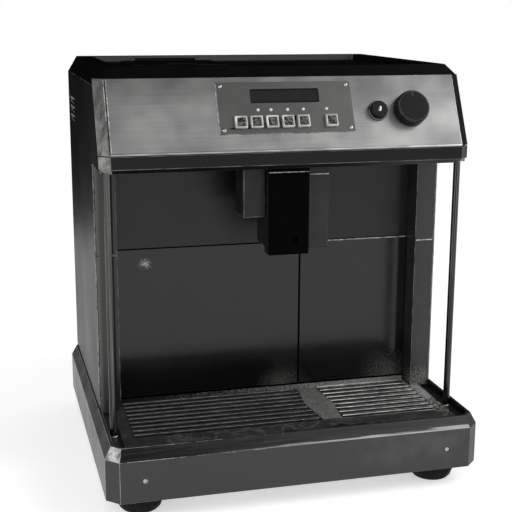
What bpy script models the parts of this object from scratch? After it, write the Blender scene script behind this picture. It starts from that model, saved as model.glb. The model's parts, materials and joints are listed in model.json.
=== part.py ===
"""Table-top hot coffee vending machine, as an assembly of separate parts.

Metres, +Z up, the front towards -Y. The world origin is the middle of the footprint, on the surface
that the feet stand on. Parts are placed under the empty "machine": there x is across, y runs back from
the base's front face, and z runs up from the base's underside. The fascia's parts are placed under the
empty "fascia_frame", which leans with it: there x is across, z is up along the fascia, and -y points
out of it.
"""

import math

import bmesh
import bpy
from mathutils import Matrix, Vector

MM = 0.001

# Clearances and sheet
GAP = 0.3 * MM  # between two pieces that touch
SLIDE_GAP = 0.5 * MM  # beside a piece that slides or turns
SEAM = 0.6 * MM  # between two panels in one plane
SHEET = 1.5 * MM  # body panels
BASE_SHEET = 1.2 * MM
PLASTIC = 2.0 * MM  # moulded walls

# Base
BASE_WIDTH = 440 * MM
BASE_DEPTH = 409 * MM
BASE_HEIGHT = 61.7 * MM
BASE_WALL_HEIGHT = 48.2 * MM
BASE_CHAMFER = 14.2 * MM
LIP_SLOPE = 7.0 * MM  # how far the lip leans in
LIP_FLAT = 3.4 * MM
LEDGE_DROP = 8.7 * MM  # from the lip's top down to the ledge
LEDGE_WIDTH = 22.0 * MM  # at the sides
LEDGE_FRONT = 13.5 * MM
LEDGE_REAR = 13.5 * MM
FOOT_HEIGHT = 25 * MM
FOOT_RADIUS = 26 * MM
FOOT_FROM_SIDE = 42 * MM
FOOT_FROM_END = 45 * MM
BASE_SCREW_FROM_SIDE = 42 * MM
BASE_SCREW_HEIGHT = 24 * MM
BASE_SCREW_RADIUS = 2.7 * MM
BASE_SCREW_LENGTH = 10 * MM

# Drip tray
GRILLE_FROM_BACK = 1.4 * MM  # its rear edge, in front of the station's rear wall
GRILLE_THICKNESS = 2.0 * MM
GRILLE_FROM_LIP = 3.6 * MM  # room for it to lift out past the lip
GRILLE_FROM_POST = 3.4 * MM
PAN_BOTTOM = 14 * MM
PAN_DRAFT = 3.5 * MM
PAN_FLANGE = 11.5 * MM
SLOT_PITCH = 12.6 * MM
SLOT_WIDTH = 6.4 * MM
SLOT_FIRST = 49.4 * MM
SLOT_LAST_MARGIN = 4 * MM  # least strip left behind the last slot
SLOT_MARGIN = 3.6 * MM  # from the slots' ends to the narrow part of the grille's edge
STRIP_LEFT = 38 * MM  # solid strip between the two fields of slots
STRIP_RIGHT = 67 * MM

# Body
BODY_INSET = 8.7 * MM  # the body's faces inside the base's
BODY_DROP = 8.1 * MM  # the side panels end this far under the fascia's upper edge
COLUMN_FRONT = 134 * MM
COLUMN_WIDTH = 26 * MM
STATION_RETURN = 27.6 * MM  # from the columns' front to the station's rear wall
SEAM_HEIGHT = 247.4 * MM
JAMB_DEPTH = 28 * MM  # the lower columns run this far past the drawer fronts
SHELF_RISE = 0.9 * MM
RUNNER_WIDTH = 6 * MM
RUNNER_HEIGHT = 7.4 * MM
DRAWER_SPLIT = 43 * MM
DRAWER_WALL = 2.0 * MM
DRAWER_SIDE_DROP = 40 * MM  # its sides are lower than its front
DRAWER_REAR_ROOM = 20 * MM
VENT_LENGTH = 40 * MM
VENT_WIDTH = 4.5 * MM
VENT_PITCH = 11.3 * MM
VENT_COUNT = 3
VENT_FROM_REAR = 56 * MM
VENT_FROM_TOP = 35.5 * MM  # the highest one, under the panel's upper edge

# Head
HEAD_FRONT = 45.5 * MM
HEAD_BOTTOM = 354.4 * MM
BAND_TOP = 374.2 * MM
BAND_BEVEL = 5 * MM
HEAD_CHAMFER = 11.9 * MM
HEAD_STEP = 1.8 * MM  # the head's front stands proud of the side panels
FASCIA_LENGTH = 87.2 * MM
FASCIA_LEAN = math.radians(26)
FASCIA_SHEET = 1.2 * MM
TOP_RISE = 11.4 * MM  # of the top above the fascia's upper edge
TOP_SIDE_BEVEL = 10.6 * MM
TOP_FRONT_BEVEL = 11.2 * MM
TOP_SKIRT_STEP = 3.6 * MM
TOP_SET_BACK = 2.4 * MM  # of the skirt's corner, behind the fascia's folded corner
TOP_CORNER_EASE = 1.6 * MM
SHELF_CORNER = 4 * MM
SHELF_RIM = 18.7 * MM
SHELF_DEPTH = 7 * MM
POST_RADIUS = 4 * MM
POST_FROM_SIDE = 16.4 * MM
POST_BACK = 63.5 * MM

# Controls, in the fascia's frame
PLATE_LEFT = -80.2 * MM
PLATE_RIGHT = 73.4 * MM
PLATE_HEIGHT = 59.4 * MM
PLATE_FROM_TOP = 6.7 * MM  # its upper edge, under the fascia's
PLATE_THICKNESS = 1.2 * MM
PLATE_SCREW_INSET = 4.2 * MM
PLATE_LAP = 8 * MM  # of the plate over the fascia around its opening
PLATE_FOOT_LAP = 4.4 * MM
SCREW_RADIUS = 2.3 * MM
SCREW_SHANK = 1.2 * MM
WINDOW_LEFT = -42 * MM
WINDOW_RIGHT = 35.3 * MM
WINDOW_RISE = 35.9 * MM  # this and the rises below are from the plate's lower edge
WINDOW_HEIGHT = 14.6 * MM
BUTTON_SIZE = 14 * MM
BUTTON_PROUD = 3.4 * MM
BUTTON_TRAVEL = 1.5 * MM
BUTTON_RISE = 12.7 * MM
BUTTON_PLACES = [-56.5 * MM, -39.0 * MM, -21.1 * MM, -3.1 * MM, 14.8 * MM, 47.3 * MM]
LIGHT_PLACES = [-35.6 * MM, -20.9 * MM, -2.0 * MM, 16.3 * MM, 43.4 * MM]
LIGHT_RISE = 26.9 * MM
LIGHT_RADIUS = 1.7 * MM
BOARD_DEPTH = 7 * MM
BOARD_THICKNESS = 1.6 * MM
LOCK_FROM_PLATE = 30.6 * MM  # its middle, from the plate's right edge
LOCK_RISE = 23.4 * MM
LOCK_RADIUS = 9.8 * MM
LOCK_PROUD = 8 * MM
LOCK_COLLAR = 1.5 * MM
KNOB_FROM_LOCK = 38.8 * MM
KNOB_RISE = 23.6 * MM
KNOB_RADIUS = 20 * MM
KNOB_PROUD = 14 * MM
SHAFT_RADIUS = 3 * MM
ENCODER_SIZE = 26 * MM

# Spouts
SPOUT_WIDTH = 48 * MM
SPOUT_FRONT = 62.5 * MM
SPOUT_DEPTH = 16.6 * MM
SPOUT_BOTTOM = 254 * MM
SPOUT_TOP = 362 * MM
SPOUT_CORNER = 6 * MM
SPOUT_PIT = 7 * MM  # square pit in its front
SPOUT_PIT_X = 7.8 * MM
SPOUT_PIT_RISE = 14 * MM
SPOUT_PIT_DEPTH = 4 * MM
HOUSING_FRONT = 74 * MM
HOUSING_BACK = 112 * MM
LEFT_HOUSING_WIDTH = 25.6 * MM
LEFT_HOUSING_BOTTOM = 296 * MM
RIGHT_HOUSING_WIDTH = 26.6 * MM
RIGHT_HOUSING_BOTTOM = 258 * MM
GUIDE_BOTTOM = 262 * MM

# Bean lid and the parts inside
LID_FROM_SIDE = 121.3 * MM  # its centre, from the body's left face
LID_FROM_REAR = 120 * MM  # its centre, from the body's rear face
LID_SIZE = 118 * MM
LID_THICKNESS = 2.5 * MM
LID_OVERLAP = 6 * MM
PIN_RADIUS = 1.2 * MM
KNUCKLE_RADIUS = 2.5 * MM
KNUCKLE_LENGTH = 80 * MM
THROAT_SIZE = 40 * MM
THROAT_HEIGHT = 384 * MM
GRINDER_RADIUS = 34 * MM
BREW_SIZE = 70 * MM
BREW_HEIGHT = 80 * MM
BREW_FROM_WALL = 12 * MM  # behind the station's rear wall
BOILER_RADIUS = 38 * MM
BOILER_HEIGHT = 150 * MM
BOILER_FROM_PUMP = 18 * MM
BOILER_FROM_REAR = 110 * MM
PUMP_RADIUS = 18 * MM
PUMP_LENGTH = 80 * MM
PUMP_FROM_BREW = 3 * MM
PUMP_FROM_REAR = 90 * MM
FAN_SIZE = 80 * MM
FAN_DEPTH = 25 * MM
FAN_BORE = 37 * MM
FAN_HEIGHT = 320 * MM
FAN_BLADES = 7
FAN_SLOT_COUNT = 5
FAN_SLOT_LENGTH = 50 * MM
FAN_SLOT_WIDTH = 4 * MM
INLET_WIDTH = 48 * MM
INLET_HEIGHT = 28 * MM
INLET_FROM_SIDE = 61.3 * MM
INLET_Z = 290 * MM
INLET_DEPTH = 18 * MM  # behind the rear panel
INLET_FLANGE = 1.5 * MM
INLET_LAP = 3 * MM  # of the flange over the panel
INLET_WALL = 1 * MM
INLET_WELL_WIDTH = 24 * MM
INLET_WELL_HEIGHT = 16 * MM
INLET_WELL_DEPTH = 14 * MM
PIN_WIDTH = 2 * MM
PIN_HEIGHT = 4 * MM
PIN_LENGTH = 10 * MM
PIN_PLACES = [(-7 * MM, -1.5 * MM), (0, 2.5 * MM), (7 * MM, -1.5 * MM)]

# Places that follow from these
BASE_HALF = BASE_WIDTH / 2
BODY_HALF = BASE_HALF - BODY_INSET
BODY_REAR = BASE_DEPTH - BODY_INSET
LIP_INSET = LIP_SLOPE + LIP_FLAT
LIP_HALF = BASE_HALF - LIP_INSET  # inner face of the lip
LEDGE_TOP = BASE_HEIGHT - LEDGE_DROP
LEDGE_HALF = LIP_HALF - LEDGE_WIDTH
LEDGE_FRONT_EDGE = LIP_INSET + LEDGE_FRONT
SIDE_INNER = BODY_HALF - SHEET
PANEL_FOOT = BASE_HEIGHT + GAP
TRAY_BOTTOM = LEDGE_TOP + GAP  # drip pan's flange and chassis floor
TRAY_TOP = TRAY_BOTTOM + SHEET
GRILLE_BOTTOM = TRAY_TOP + GAP
STATION_BACK = COLUMN_FRONT + STATION_RETURN
GRILLE_REAR = STATION_BACK - GRILLE_FROM_BACK
SLOT_ROOM = GRILLE_REAR - SLOT_LAST_MARGIN - SLOT_WIDTH / 2 - SLOT_FIRST
SLOT_COUNT = 1 + int(SLOT_ROOM / SLOT_PITCH)
RUNNER_TOP = TRAY_TOP + RUNNER_HEIGHT
POST_X = BASE_HALF - POST_FROM_SIDE
GRILLE_HALF = POST_X - POST_RADIUS - GRILLE_FROM_POST
STATION_HALF = BODY_HALF - COLUMN_WIDTH
DRAWER_HALF = STATION_HALF - SLIDE_GAP
DRAWER_BOTTOM = RUNNER_TOP + GAP
DRAWER_TOP = SEAM_HEIGHT - SHELF_RISE
DRAWER_BACK = BODY_REAR - DRAWER_REAR_ROOM
SHELF_BOTTOM = SEAM_HEIGHT + SHELF_RISE
SHELF_TOP = SHELF_BOTTOM + SHEET
ON_SHELF = SHELF_TOP + GAP
HEAD_HALF = BODY_HALF + HEAD_STEP
FASCIA_HALF = HEAD_HALF - HEAD_CHAMFER  # flat part
FASCIA_TOP = BAND_TOP + FASCIA_LENGTH * math.cos(FASCIA_LEAN)
FASCIA_TOP_FRONT = HEAD_FRONT + FASCIA_LENGTH * math.sin(FASCIA_LEAN)
BODY_TOP = FASCIA_TOP - BODY_DROP
VENT_TOP = BODY_TOP - VENT_FROM_TOP
TOP_HEIGHT = FASCIA_TOP + TOP_RISE
CUP_SHELF = TOP_HEIGHT - SHELF_DEPTH
REAR_INNER = BODY_REAR - SHEET
LID_CENTRE_X = LID_FROM_SIDE - BODY_HALF
LID_Y = BODY_REAR - LID_FROM_REAR
LID_BOTTOM = CUP_SHELF + GAP
LID_HINGE_Y = LID_Y + LID_SIZE / 2 + KNUCKLE_RADIUS
LID_HINGE_Z = LID_BOTTOM + KNUCKLE_RADIUS + GAP
PLATE_HIGH = FASCIA_LENGTH - PLATE_FROM_TOP
PLATE_LOW = PLATE_HIGH - PLATE_HEIGHT
WINDOW_LOW = PLATE_LOW + WINDOW_RISE
WINDOW_HIGH = WINDOW_LOW + WINDOW_HEIGHT
BUTTON_HEIGHT = PLATE_LOW + BUTTON_RISE
LIGHT_HEIGHT = PLATE_LOW + LIGHT_RISE
LOCK_X = PLATE_RIGHT + LOCK_FROM_PLATE
LOCK_HEIGHT = PLATE_LOW + LOCK_RISE
KNOB_X = LOCK_X + KNOB_FROM_LOCK
KNOB_HEIGHT = PLATE_LOW + KNOB_RISE
PUMP_X = BREW_SIZE / 2 + PUMP_FROM_BREW + PUMP_RADIUS
BOILER_X = PUMP_X + PUMP_RADIUS + BOILER_FROM_PUMP + BOILER_RADIUS
INLET_X = BODY_HALF - INLET_FROM_SIDE

FINISHES = {  # colour (linear), roughness, metallic
    "dark_sheet": ((0.045, 0.045, 0.043), 0.45, 0.0),
    "black_sheet": ((0.012, 0.012, 0.012), 0.4, 0.0),
    "brushed_steel": ((0.35, 0.35, 0.34), 0.35, 1.0),
    "dark_steel": ((0.12, 0.12, 0.12), 0.35, 1.0),
    "zinc_sheet": ((0.4, 0.41, 0.42), 0.45, 1.0),
    "black_plastic": ((0.01, 0.01, 0.01), 0.4, 0.0),
    "grey_plastic": ((0.04, 0.04, 0.038), 0.45, 0.0),
    "clear_smoke": ((0.02, 0.02, 0.02), 0.1, 0.0),
    "silver_key": ((0.45, 0.45, 0.44), 0.35, 0.3),
    "light_guide": ((0.7, 0.7, 0.68), 0.3, 0.0),
    "board_green": ((0.02, 0.12, 0.05), 0.5, 0.0),
    "rubber": ((0.013, 0.013, 0.013), 0.8, 0.0),
    "chrome": ((0.6, 0.6, 0.6), 0.1, 1.0),
    "copper": ((0.7, 0.3, 0.18), 0.3, 1.0),
}


def clear_scene():
    for old in list(bpy.data.objects):
        bpy.data.objects.remove(old)


def new_collection(name):
    collection = bpy.data.collections.new(name)
    bpy.context.scene.collection.children.link(collection)
    return collection


def finish(name):
    """The material of this name, made once."""
    material = bpy.data.materials.get(name)
    if material:
        return material
    colour, roughness, metallic = FINISHES[name]
    material = bpy.data.materials.new(name)
    material.use_nodes = True
    shader = material.node_tree.nodes["Principled BSDF"]
    shader.inputs["Base Color"].default_value = (*colour, 1)
    shader.inputs["Roughness"].default_value = roughness
    shader.inputs["Metallic"].default_value = metallic
    return material


def empty(name, place, parent=None, turn=(0, 0, 0)):
    made = bpy.data.objects.new(name, None)
    made.location = place
    made.rotation_euler = turn
    made.parent = parent
    PARTS.objects.link(made)
    return made


def piece(name, data, look, parent=None, place=(0, 0, 0), turn=(0, 0, 0)):
    """A part of the machine: this mesh or curve, under a parent, with its material."""
    made = bpy.data.objects.new(name, data)
    made.location = place
    made.rotation_euler = turn
    made.parent = parent or MACHINE
    data.materials.append(finish(look))
    PARTS.objects.link(made)
    return made


def tool(name, data, parent=None, place=(0, 0, 0), turn=(0, 0, 0)):
    """A helper that cuts or joins, and isn't a part itself."""
    made = bpy.data.objects.new(name, data)
    made.location = place
    made.rotation_euler = turn
    made.parent = parent or MACHINE
    made.hide_render = True
    made.display_type = "WIRE"
    TOOLS.objects.link(made)
    return made


def mesh_of(name, bm):
    mesh = bpy.data.meshes.new(name)
    bm.to_mesh(mesh)
    bm.free()
    return mesh


def add_box(bm, low, high):
    low, high = Vector(low), Vector(high)
    made = bmesh.ops.create_cube(bm, size=1)["verts"]
    bmesh.ops.scale(bm, vec=high - low, verts=made)
    bmesh.ops.translate(bm, vec=(low + high) / 2, verts=made)
    return made


def add_rod(bm, centre, radius, length, axis="Z", sides=24):
    turns = {
        "X": Matrix.Rotation(math.pi / 2, 4, "Y"),
        "Y": Matrix.Rotation(math.pi / 2, 4, "X"),
        "Z": Matrix.Identity(4),
    }
    matrix = Matrix.Translation(centre) @ turns[axis]
    made = bmesh.ops.create_cone(
        bm, cap_ends=True, segments=sides, radius1=radius, radius2=radius, depth=length, matrix=matrix
    )
    return made["verts"]


def boxes(name, corners):
    bm = bmesh.new()
    for low, high in corners:
        add_box(bm, low, high)
    return mesh_of(name, bm)


def rods(name, places, radius, length, axis="Z", sides=24):
    bm = bmesh.new()
    for centre in places:
        add_rod(bm, centre, radius, length, axis, sides)
    return mesh_of(name, bm)


def box(name, low, high, look, parent=None, bevel=0.0):
    """A block between two corners, with its origin at its middle."""
    middle = (Vector(low) + Vector(high)) / 2
    mesh = boxes(name, [(Vector(low) - middle, Vector(high) - middle)])
    made = piece(name, mesh, look, parent, middle)
    if bevel:
        round_edges(made, bevel)
    return made


def rod(name, centre, radius, length, look, axis="Z", parent=None, sides=24):
    mesh = rods(name, [(0, 0, 0)], radius, length, axis, sides)
    return smooth(piece(name, mesh, look, parent, centre))


def round_edges(made, width, segments=1):
    modifier = made.modifiers.new("edges", "BEVEL")
    modifier.width = width
    modifier.segments = segments
    modifier.limit_method = "ANGLE"


def smooth(made):
    made.data.shade_smooth()
    made.data.set_sharp_from_angle(angle=math.radians(35))
    return made


def boolean(made, other, operation):
    modifier = made.modifiers.new(other.name, "BOOLEAN")
    modifier.object = other
    modifier.operation = operation
    modifier.solver = "EXACT"


def cut(made, *others):
    for other in others:
        boolean(made, other, "DIFFERENCE")
    return made


def join(made, *others):
    for other in others:
        boolean(made, other, "UNION")
    return made


def thicken(made, thickness):
    """Gives an open sheet its wall, behind the side that its normals show."""
    modifier = made.modifiers.new("wall", "SOLIDIFY")
    modifier.thickness = thickness
    modifier.offset = -1
    modifier.use_even_offset = True
    return made


def loft(name, loops, closed=True, floor=False, base=False):
    """A skin through loops of points, each the same way round.

    A floor closes the last loop, and a base the first.
    """
    bm = bmesh.new()
    rings = [[bm.verts.new(point) for point in loop] for loop in loops]
    count = len(loops[0])
    for low, high in zip(rings, rings[1:]):
        for i in range(count if closed else count - 1):
            j = (i + 1) % count
            bm.faces.new((low[i], low[j], high[j], high[i]))
    if floor:
        bm.faces.new(rings[-1])
    if base:
        bm.faces.new(reversed(rings[0]))
    return mesh_of(name, bm)


def slab(name, outline, low, high, look, parent=None):
    """A flat plate as a mesh, for one that is cut or joined."""
    loops = [[(x, y, z) for x, y in outline] for z in (low, high)]
    return piece(name, loft(name, loops, floor=True, base=True), look, parent)


def turned(name, profile, look, parent=None, place=(0, 0, 0), turn=(0, 0, 0), steps=24, ring=False):
    """A lathe shape about its own Z. The profile is (radius, height), down its outer side."""
    bm = bmesh.new()
    points = [bm.verts.new((radius, 0, height)) for radius, height in profile]
    for first, second in zip(points, points[1:]):
        bm.edges.new((first, second))
    if ring:
        bm.edges.new((points[-1], points[0]))
    made = piece(name, mesh_of(name, bm), look, parent, place, turn)
    modifier = made.modifiers.new("lathe", "SCREW")
    modifier.steps = steps
    modifier.render_steps = steps
    modifier.use_merge_vertices = True
    modifier.merge_threshold = 0.00001
    return made


PLATE_TURNS = {
    "flat": (0, 0, 0),  # outline in x and y, thickness in z
    "front": (math.pi / 2, 0, 0),  # outline in x and z, thickness in y
    "side": (math.pi / 2, 0, math.pi / 2),  # outline in y and z, thickness in x
}


def plate(name, outline, thickness, facing, middle, look, holes=(), parent=None):
    """A flat sheet from its outline and holes; middle is the middle of its thickness."""
    curve = bpy.data.curves.new(name, "CURVE")
    curve.dimensions = "2D"
    curve.fill_mode = "BOTH"
    curve.extrude = thickness / 2
    for points in (outline, *holes):
        spline = curve.splines.new("POLY")
        spline.points.add(len(points) - 1)
        for point, (u, v) in zip(spline.points, points):
            point.co = (u, v, 0, 1)
        spline.use_cyclic_u = True
    place = {"flat": (0, 0, middle), "front": (0, middle, 0), "side": (middle, 0, 0)}[facing]
    return piece(name, curve, look, parent, place, PLATE_TURNS[facing])


def rectangle(left, right, low, high):
    return [(left, low), (right, low), (right, high), (left, high)]


def circle(u, v, radius, sides=12):
    steps = [2 * math.pi * i / sides for i in range(sides)]
    return [(u + radius * math.cos(a), v + radius * math.sin(a)) for a in steps]


def chamfered(half, front, rear, chamfer):
    inner = half - chamfer
    right = [(inner, front), (half, front + chamfer), (half, rear - chamfer), (inner, rear)]
    return right + [(-x, y) for x, y in reversed(right)]


def base_loop(inset, height):
    """The base's outline, moved in evenly, at this height."""
    chamfer = BASE_CHAMFER - inset * (2 - math.sqrt(2))
    return [(x, y, height) for x, y in chamfered(BASE_HALF - inset, inset, BASE_DEPTH - inset, chamfer)]


def make_base():
    opening = chamfered(LEDGE_HALF, LEDGE_FRONT_EDGE, BASE_DEPTH - LIP_INSET - LEDGE_REAR, PLASTIC)
    loops = [
        base_loop(0, 0),
        base_loop(0, BASE_WALL_HEIGHT),
        base_loop(LIP_SLOPE, BASE_HEIGHT),
        base_loop(LIP_INSET, BASE_HEIGHT),
        base_loop(LIP_INSET, LEDGE_TOP),
        [(x, y, LEDGE_TOP) for x, y in opening],
    ]
    shell = thicken(piece("base_shell", loft("base_shell", loops), "dark_sheet"), BASE_SHEET)
    screw_x = BASE_HALF - BASE_SCREW_FROM_SIDE
    places = [(side * screw_x, 0, BASE_SCREW_HEIGHT) for side in (-1, 1)]
    holes = rods("holes", places, BASE_SCREW_RADIUS + GAP, 4 * BASE_SHEET, "Y", 16)
    cut(shell, tool("base_screw_holes", holes))
    for side, (x, _, z) in zip(("left", "right"), places):
        middle = (x, GAP + BASE_SCREW_LENGTH / 2, z)
        name = f"base_screw_{side}"
        rod(name, middle, BASE_SCREW_RADIUS, BASE_SCREW_LENGTH, "zinc_sheet", "Y", sides=16)

    inset = BASE_SHEET + GAP
    outline = [(x, y) for x, y, _ in base_loop(inset, 0)]
    plate("base_plate", outline, SHEET, "flat", GAP + SHEET / 2, "zinc_sheet")

    profile = [
        (0, 0),
        (FOOT_RADIUS, 0),
        (FOOT_RADIUS, -FOOT_HEIGHT * 0.55),
        (FOOT_RADIUS * 0.93, -FOOT_HEIGHT * 0.85),
        (FOOT_RADIUS * 0.8, -FOOT_HEIGHT),
        (0, -FOOT_HEIGHT),
    ]
    ends = {"front": FOOT_FROM_END, "rear": BASE_DEPTH - FOOT_FROM_END}
    for end, y in ends.items():
        for side, sign in (("left", -1), ("right", 1)):
            place = (sign * (BASE_HALF - FOOT_FROM_SIDE), y, 0)
            smooth(turned(f"foot_{end}_{side}", profile, "rubber", place=place))


def make_drip_tray():
    flange = chamfered(LEDGE_HALF + PAN_FLANGE, LIP_INSET + SLIDE_GAP, GRILLE_REAR - PLASTIC, PLASTIC)
    mouth_half = LEDGE_HALF - PLASTIC
    mouth_front = LEDGE_FRONT_EDGE + PLASTIC
    mouth_rear = GRILLE_REAR - PAN_FLANGE

    def pan_loop(inset, height):
        loop = chamfered(mouth_half - inset, mouth_front + inset, mouth_rear - inset, PLASTIC)
        return [(x, y, height) for x, y in loop]

    loops = [  # up the outside, round the flange, down the inside
        pan_loop(PAN_DRAFT - SHEET, PAN_BOTTOM - SHEET),
        pan_loop(-SHEET, TRAY_BOTTOM),
        [(x, y, TRAY_BOTTOM) for x, y in flange],
        [(x, y, TRAY_TOP) for x, y in flange],
        pan_loop(0, TRAY_TOP),
        pan_loop(PAN_DRAFT, PAN_BOTTOM),
    ]
    piece("drip_pan", loft("drip_pan", loops, floor=True, base=True), "black_plastic")

    front = LIP_INSET + GRILLE_FROM_LIP
    notch = COLUMN_FRONT - SLIDE_GAP
    right = [
        (GRILLE_HALF - PLASTIC, front),
        (GRILLE_HALF, front + PLASTIC),
        (GRILLE_HALF, notch),
        (STATION_HALF - SLIDE_GAP, notch),
        (STATION_HALF - SLIDE_GAP, GRILLE_REAR),
    ]
    outline = right + [(-x, y) for x, y in reversed(right)]
    slot_end = STATION_HALF - SLIDE_GAP - SLOT_MARGIN
    slots = []
    for i in range(SLOT_COUNT):
        low = SLOT_FIRST + i * SLOT_PITCH - SLOT_WIDTH / 2
        for left, right_end in ((-slot_end, STRIP_LEFT), (STRIP_RIGHT, slot_end)):
            slots.append(rectangle(left, right_end, low, low + SLOT_WIDTH))
    middle = GRILLE_BOTTOM + GRILLE_THICKNESS / 2
    plate("drip_grille", outline, GRILLE_THICKNESS, "flat", middle, "dark_steel", slots)


def make_chassis():
    front = GRILLE_REAR - PLASTIC + GAP
    half = LIP_HALF - GAP
    rear = BASE_DEPTH - LIP_INSET - GAP
    corner = BASE_CHAMFER - LIP_INSET * (2 - math.sqrt(2)) + GAP
    right = [(half, front), (half, rear - corner), (half - corner, rear)]
    outline = right + [(-x, y) for x, y in reversed(right)]
    floor = slab("chassis_floor", outline, TRAY_BOTTOM, TRAY_TOP, "zinc_sheet")
    inset = 2 * RUNNER_WIDTH
    runners = []
    for left, right in drawer_spans():
        for middle in (left + inset, right - inset):
            low = (middle - RUNNER_WIDTH / 2, STATION_BACK + GAP, TRAY_TOP - SHEET / 2)
            runners.append((low, (middle + RUNNER_WIDTH / 2, DRAWER_BACK, RUNNER_TOP)))
    join(floor, tool("drawer_runners", boxes("drawer_runners", runners)))

    front = STATION_BACK + SHEET + GAP
    half = SIDE_INNER - GAP
    box("mid_shelf", (-half, front, SHELF_BOTTOM), (half, REAR_INNER - GAP, SHELF_TOP), "zinc_sheet")


def drawer_spans():
    """Left and right ends of the grounds drawer and of the water tank drawer."""
    return (-DRAWER_HALF, DRAWER_SPLIT - SEAM / 2), (DRAWER_SPLIT + SEAM / 2, DRAWER_HALF)


def make_drawers():
    names = (("grounds_drawer", "dark_sheet"), ("water_tank_drawer", "dark_sheet"))
    for (name, look), (left, right) in zip(names, drawer_spans()):
        low = (left, STATION_BACK, DRAWER_BOTTOM)
        high = (right, DRAWER_BACK, DRAWER_TOP)
        drawer = box(name, low, high, look)
        wall = DRAWER_WALL
        inside = (
            (left + wall, STATION_BACK + wall, DRAWER_BOTTOM + wall),
            (right - wall, DRAWER_BACK - wall, DRAWER_TOP + wall),
        )
        above = (
            (left - wall, STATION_BACK + 2 * wall, DRAWER_TOP - DRAWER_SIDE_DROP),
            (right + wall, DRAWER_BACK + wall, DRAWER_TOP + wall),
        )
        cut(drawer, tool(f"{name}_inside", boxes(name, [inside])))
        cut(drawer, tool(f"{name}_above", boxes(name, [above])))


def column_outline(side, back):
    """An angle in plan: the flange that faces forward and the return along the station."""
    inner, outer = STATION_HALF, LIP_HALF - GAP
    points = [
        (inner, COLUMN_FRONT),
        (outer, COLUMN_FRONT),
        (outer, COLUMN_FRONT + SHEET),
        (inner + SHEET, COLUMN_FRONT + SHEET),
        (inner + SHEET, back),
        (inner, back),
    ]
    return [(side * x, y) for x, y in points]


def make_body():
    head_back = HEAD_FRONT + HEAD_CHAMFER + SHEET
    lean = math.tan(FASCIA_LEAN)
    outline = [
        (COLUMN_FRONT, PANEL_FOOT),
        (BODY_REAR, PANEL_FOOT),
        (BODY_REAR, BODY_TOP),
        (head_back + (BODY_TOP - BAND_TOP) * lean, BODY_TOP),
        (head_back, BAND_TOP),
        (head_back, HEAD_BOTTOM),
        (COLUMN_FRONT, HEAD_BOTTOM),
    ]
    middle = BODY_REAR - VENT_FROM_REAR
    tops = [VENT_TOP - i * VENT_PITCH for i in range(VENT_COUNT)]
    ends = middle - VENT_LENGTH / 2, middle + VENT_LENGTH / 2
    vents = [rectangle(*ends, top - VENT_WIDTH / 2, top + VENT_WIDTH / 2) for top in tops]
    for side, sign in (("left", -1), ("right", 1)):
        centre = sign * (BODY_HALF - SHEET / 2)
        plate(f"side_panel_{side}", outline, SHEET, "side", centre, "dark_sheet", vents)
        spans = {
            "lower": (TRAY_TOP + GAP, SEAM_HEIGHT - SEAM / 2, STATION_BACK + JAMB_DEPTH),
            "upper": (SEAM_HEIGHT + SEAM / 2, HEAD_BOTTOM - GAP, STATION_BACK - GAP),
        }
        for level, (low, high, back) in spans.items():
            angle = column_outline(sign, back)
            plate(f"column_{side}_{level}", angle, high - low, "flat", (low + high) / 2, "dark_sheet")

    half = SIDE_INNER - GAP
    low = (-half, STATION_BACK, SEAM_HEIGHT + SEAM / 2)
    box("upper_panel", low, (half, STATION_BACK + SHEET, HEAD_BOTTOM - GAP), "dark_sheet")

    fan_slots = []
    left, right = LID_CENTRE_X - FAN_SLOT_LENGTH / 2, LID_CENTRE_X + FAN_SLOT_LENGTH / 2
    for i in range(FAN_SLOT_COUNT):
        low = FAN_HEIGHT + (i - (FAN_SLOT_COUNT - 1) / 2) * VENT_PITCH - FAN_SLOT_WIDTH / 2
        fan_slots.append(rectangle(left, right, low, low + FAN_SLOT_WIDTH))
    inlet_half = INLET_WIDTH / 2 + GAP
    inlet_hole = rectangle(
        INLET_X - inlet_half,
        INLET_X + inlet_half,
        INLET_Z - INLET_HEIGHT / 2 - GAP,
        INLET_Z + INLET_HEIGHT / 2 + GAP,
    )
    outline = rectangle(-half, half, PANEL_FOOT, BODY_TOP)
    middle = BODY_REAR - SHEET / 2
    plate("rear_panel", outline, SHEET, "front", middle, "zinc_sheet", [*fan_slots, inlet_hole])


def make_posts():
    low, high = TRAY_BOTTOM, HEAD_BOTTOM - GAP
    for side, sign in (("left", -1), ("right", 1)):
        middle = (sign * POST_X, POST_BACK, (low + high) / 2)
        rod(f"post_{side}", middle, POST_RADIUS, high - low, "dark_steel", sides=20)


def head_line(inset, height):
    """The head's front and its two chamfers, moved in evenly, in plan at this height."""
    flat = FASCIA_HALF - inset * (math.sqrt(2) - 1)
    reach = HEAD_CHAMFER - inset
    right = [(flat, HEAD_FRONT + inset, height), (flat + reach, HEAD_FRONT + HEAD_CHAMFER, height)]
    return [(-x, y, z) for x, y, z in reversed(right)] + right


def make_head():
    loops = [
        head_line(BAND_BEVEL, HEAD_BOTTOM),
        head_line(0, HEAD_BOTTOM + BAND_BEVEL),
        head_line(0, BAND_TOP - FASCIA_SHEET * math.sin(FASCIA_LEAN) - GAP),
    ]
    thicken(piece("head_band", loft("head_band", loops, closed=False), "black_sheet"), SHEET)

    front = HEAD_FRONT + BAND_BEVEL + SHEET
    half = SIDE_INNER - GAP
    cheek = HEAD_CHAMFER + BAND_BEVEL
    outline = [
        (-half + cheek, front),
        (half - cheek, front),
        (half, front + cheek),
        (half, STATION_BACK + SHEET),
        (-half, STATION_BACK + SHEET),
        (-half, front + cheek),
    ]
    room = SPOUT_WIDTH / 2 + SLIDE_GAP
    mouth = rectangle(-room, room, SPOUT_FRONT - SLIDE_GAP, SPOUT_FRONT + SPOUT_DEPTH + SLIDE_GAP)
    plate("head_floor", outline, SHEET, "flat", HEAD_BOTTOM + SHEET / 2, "black_sheet", [mouth])


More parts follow.
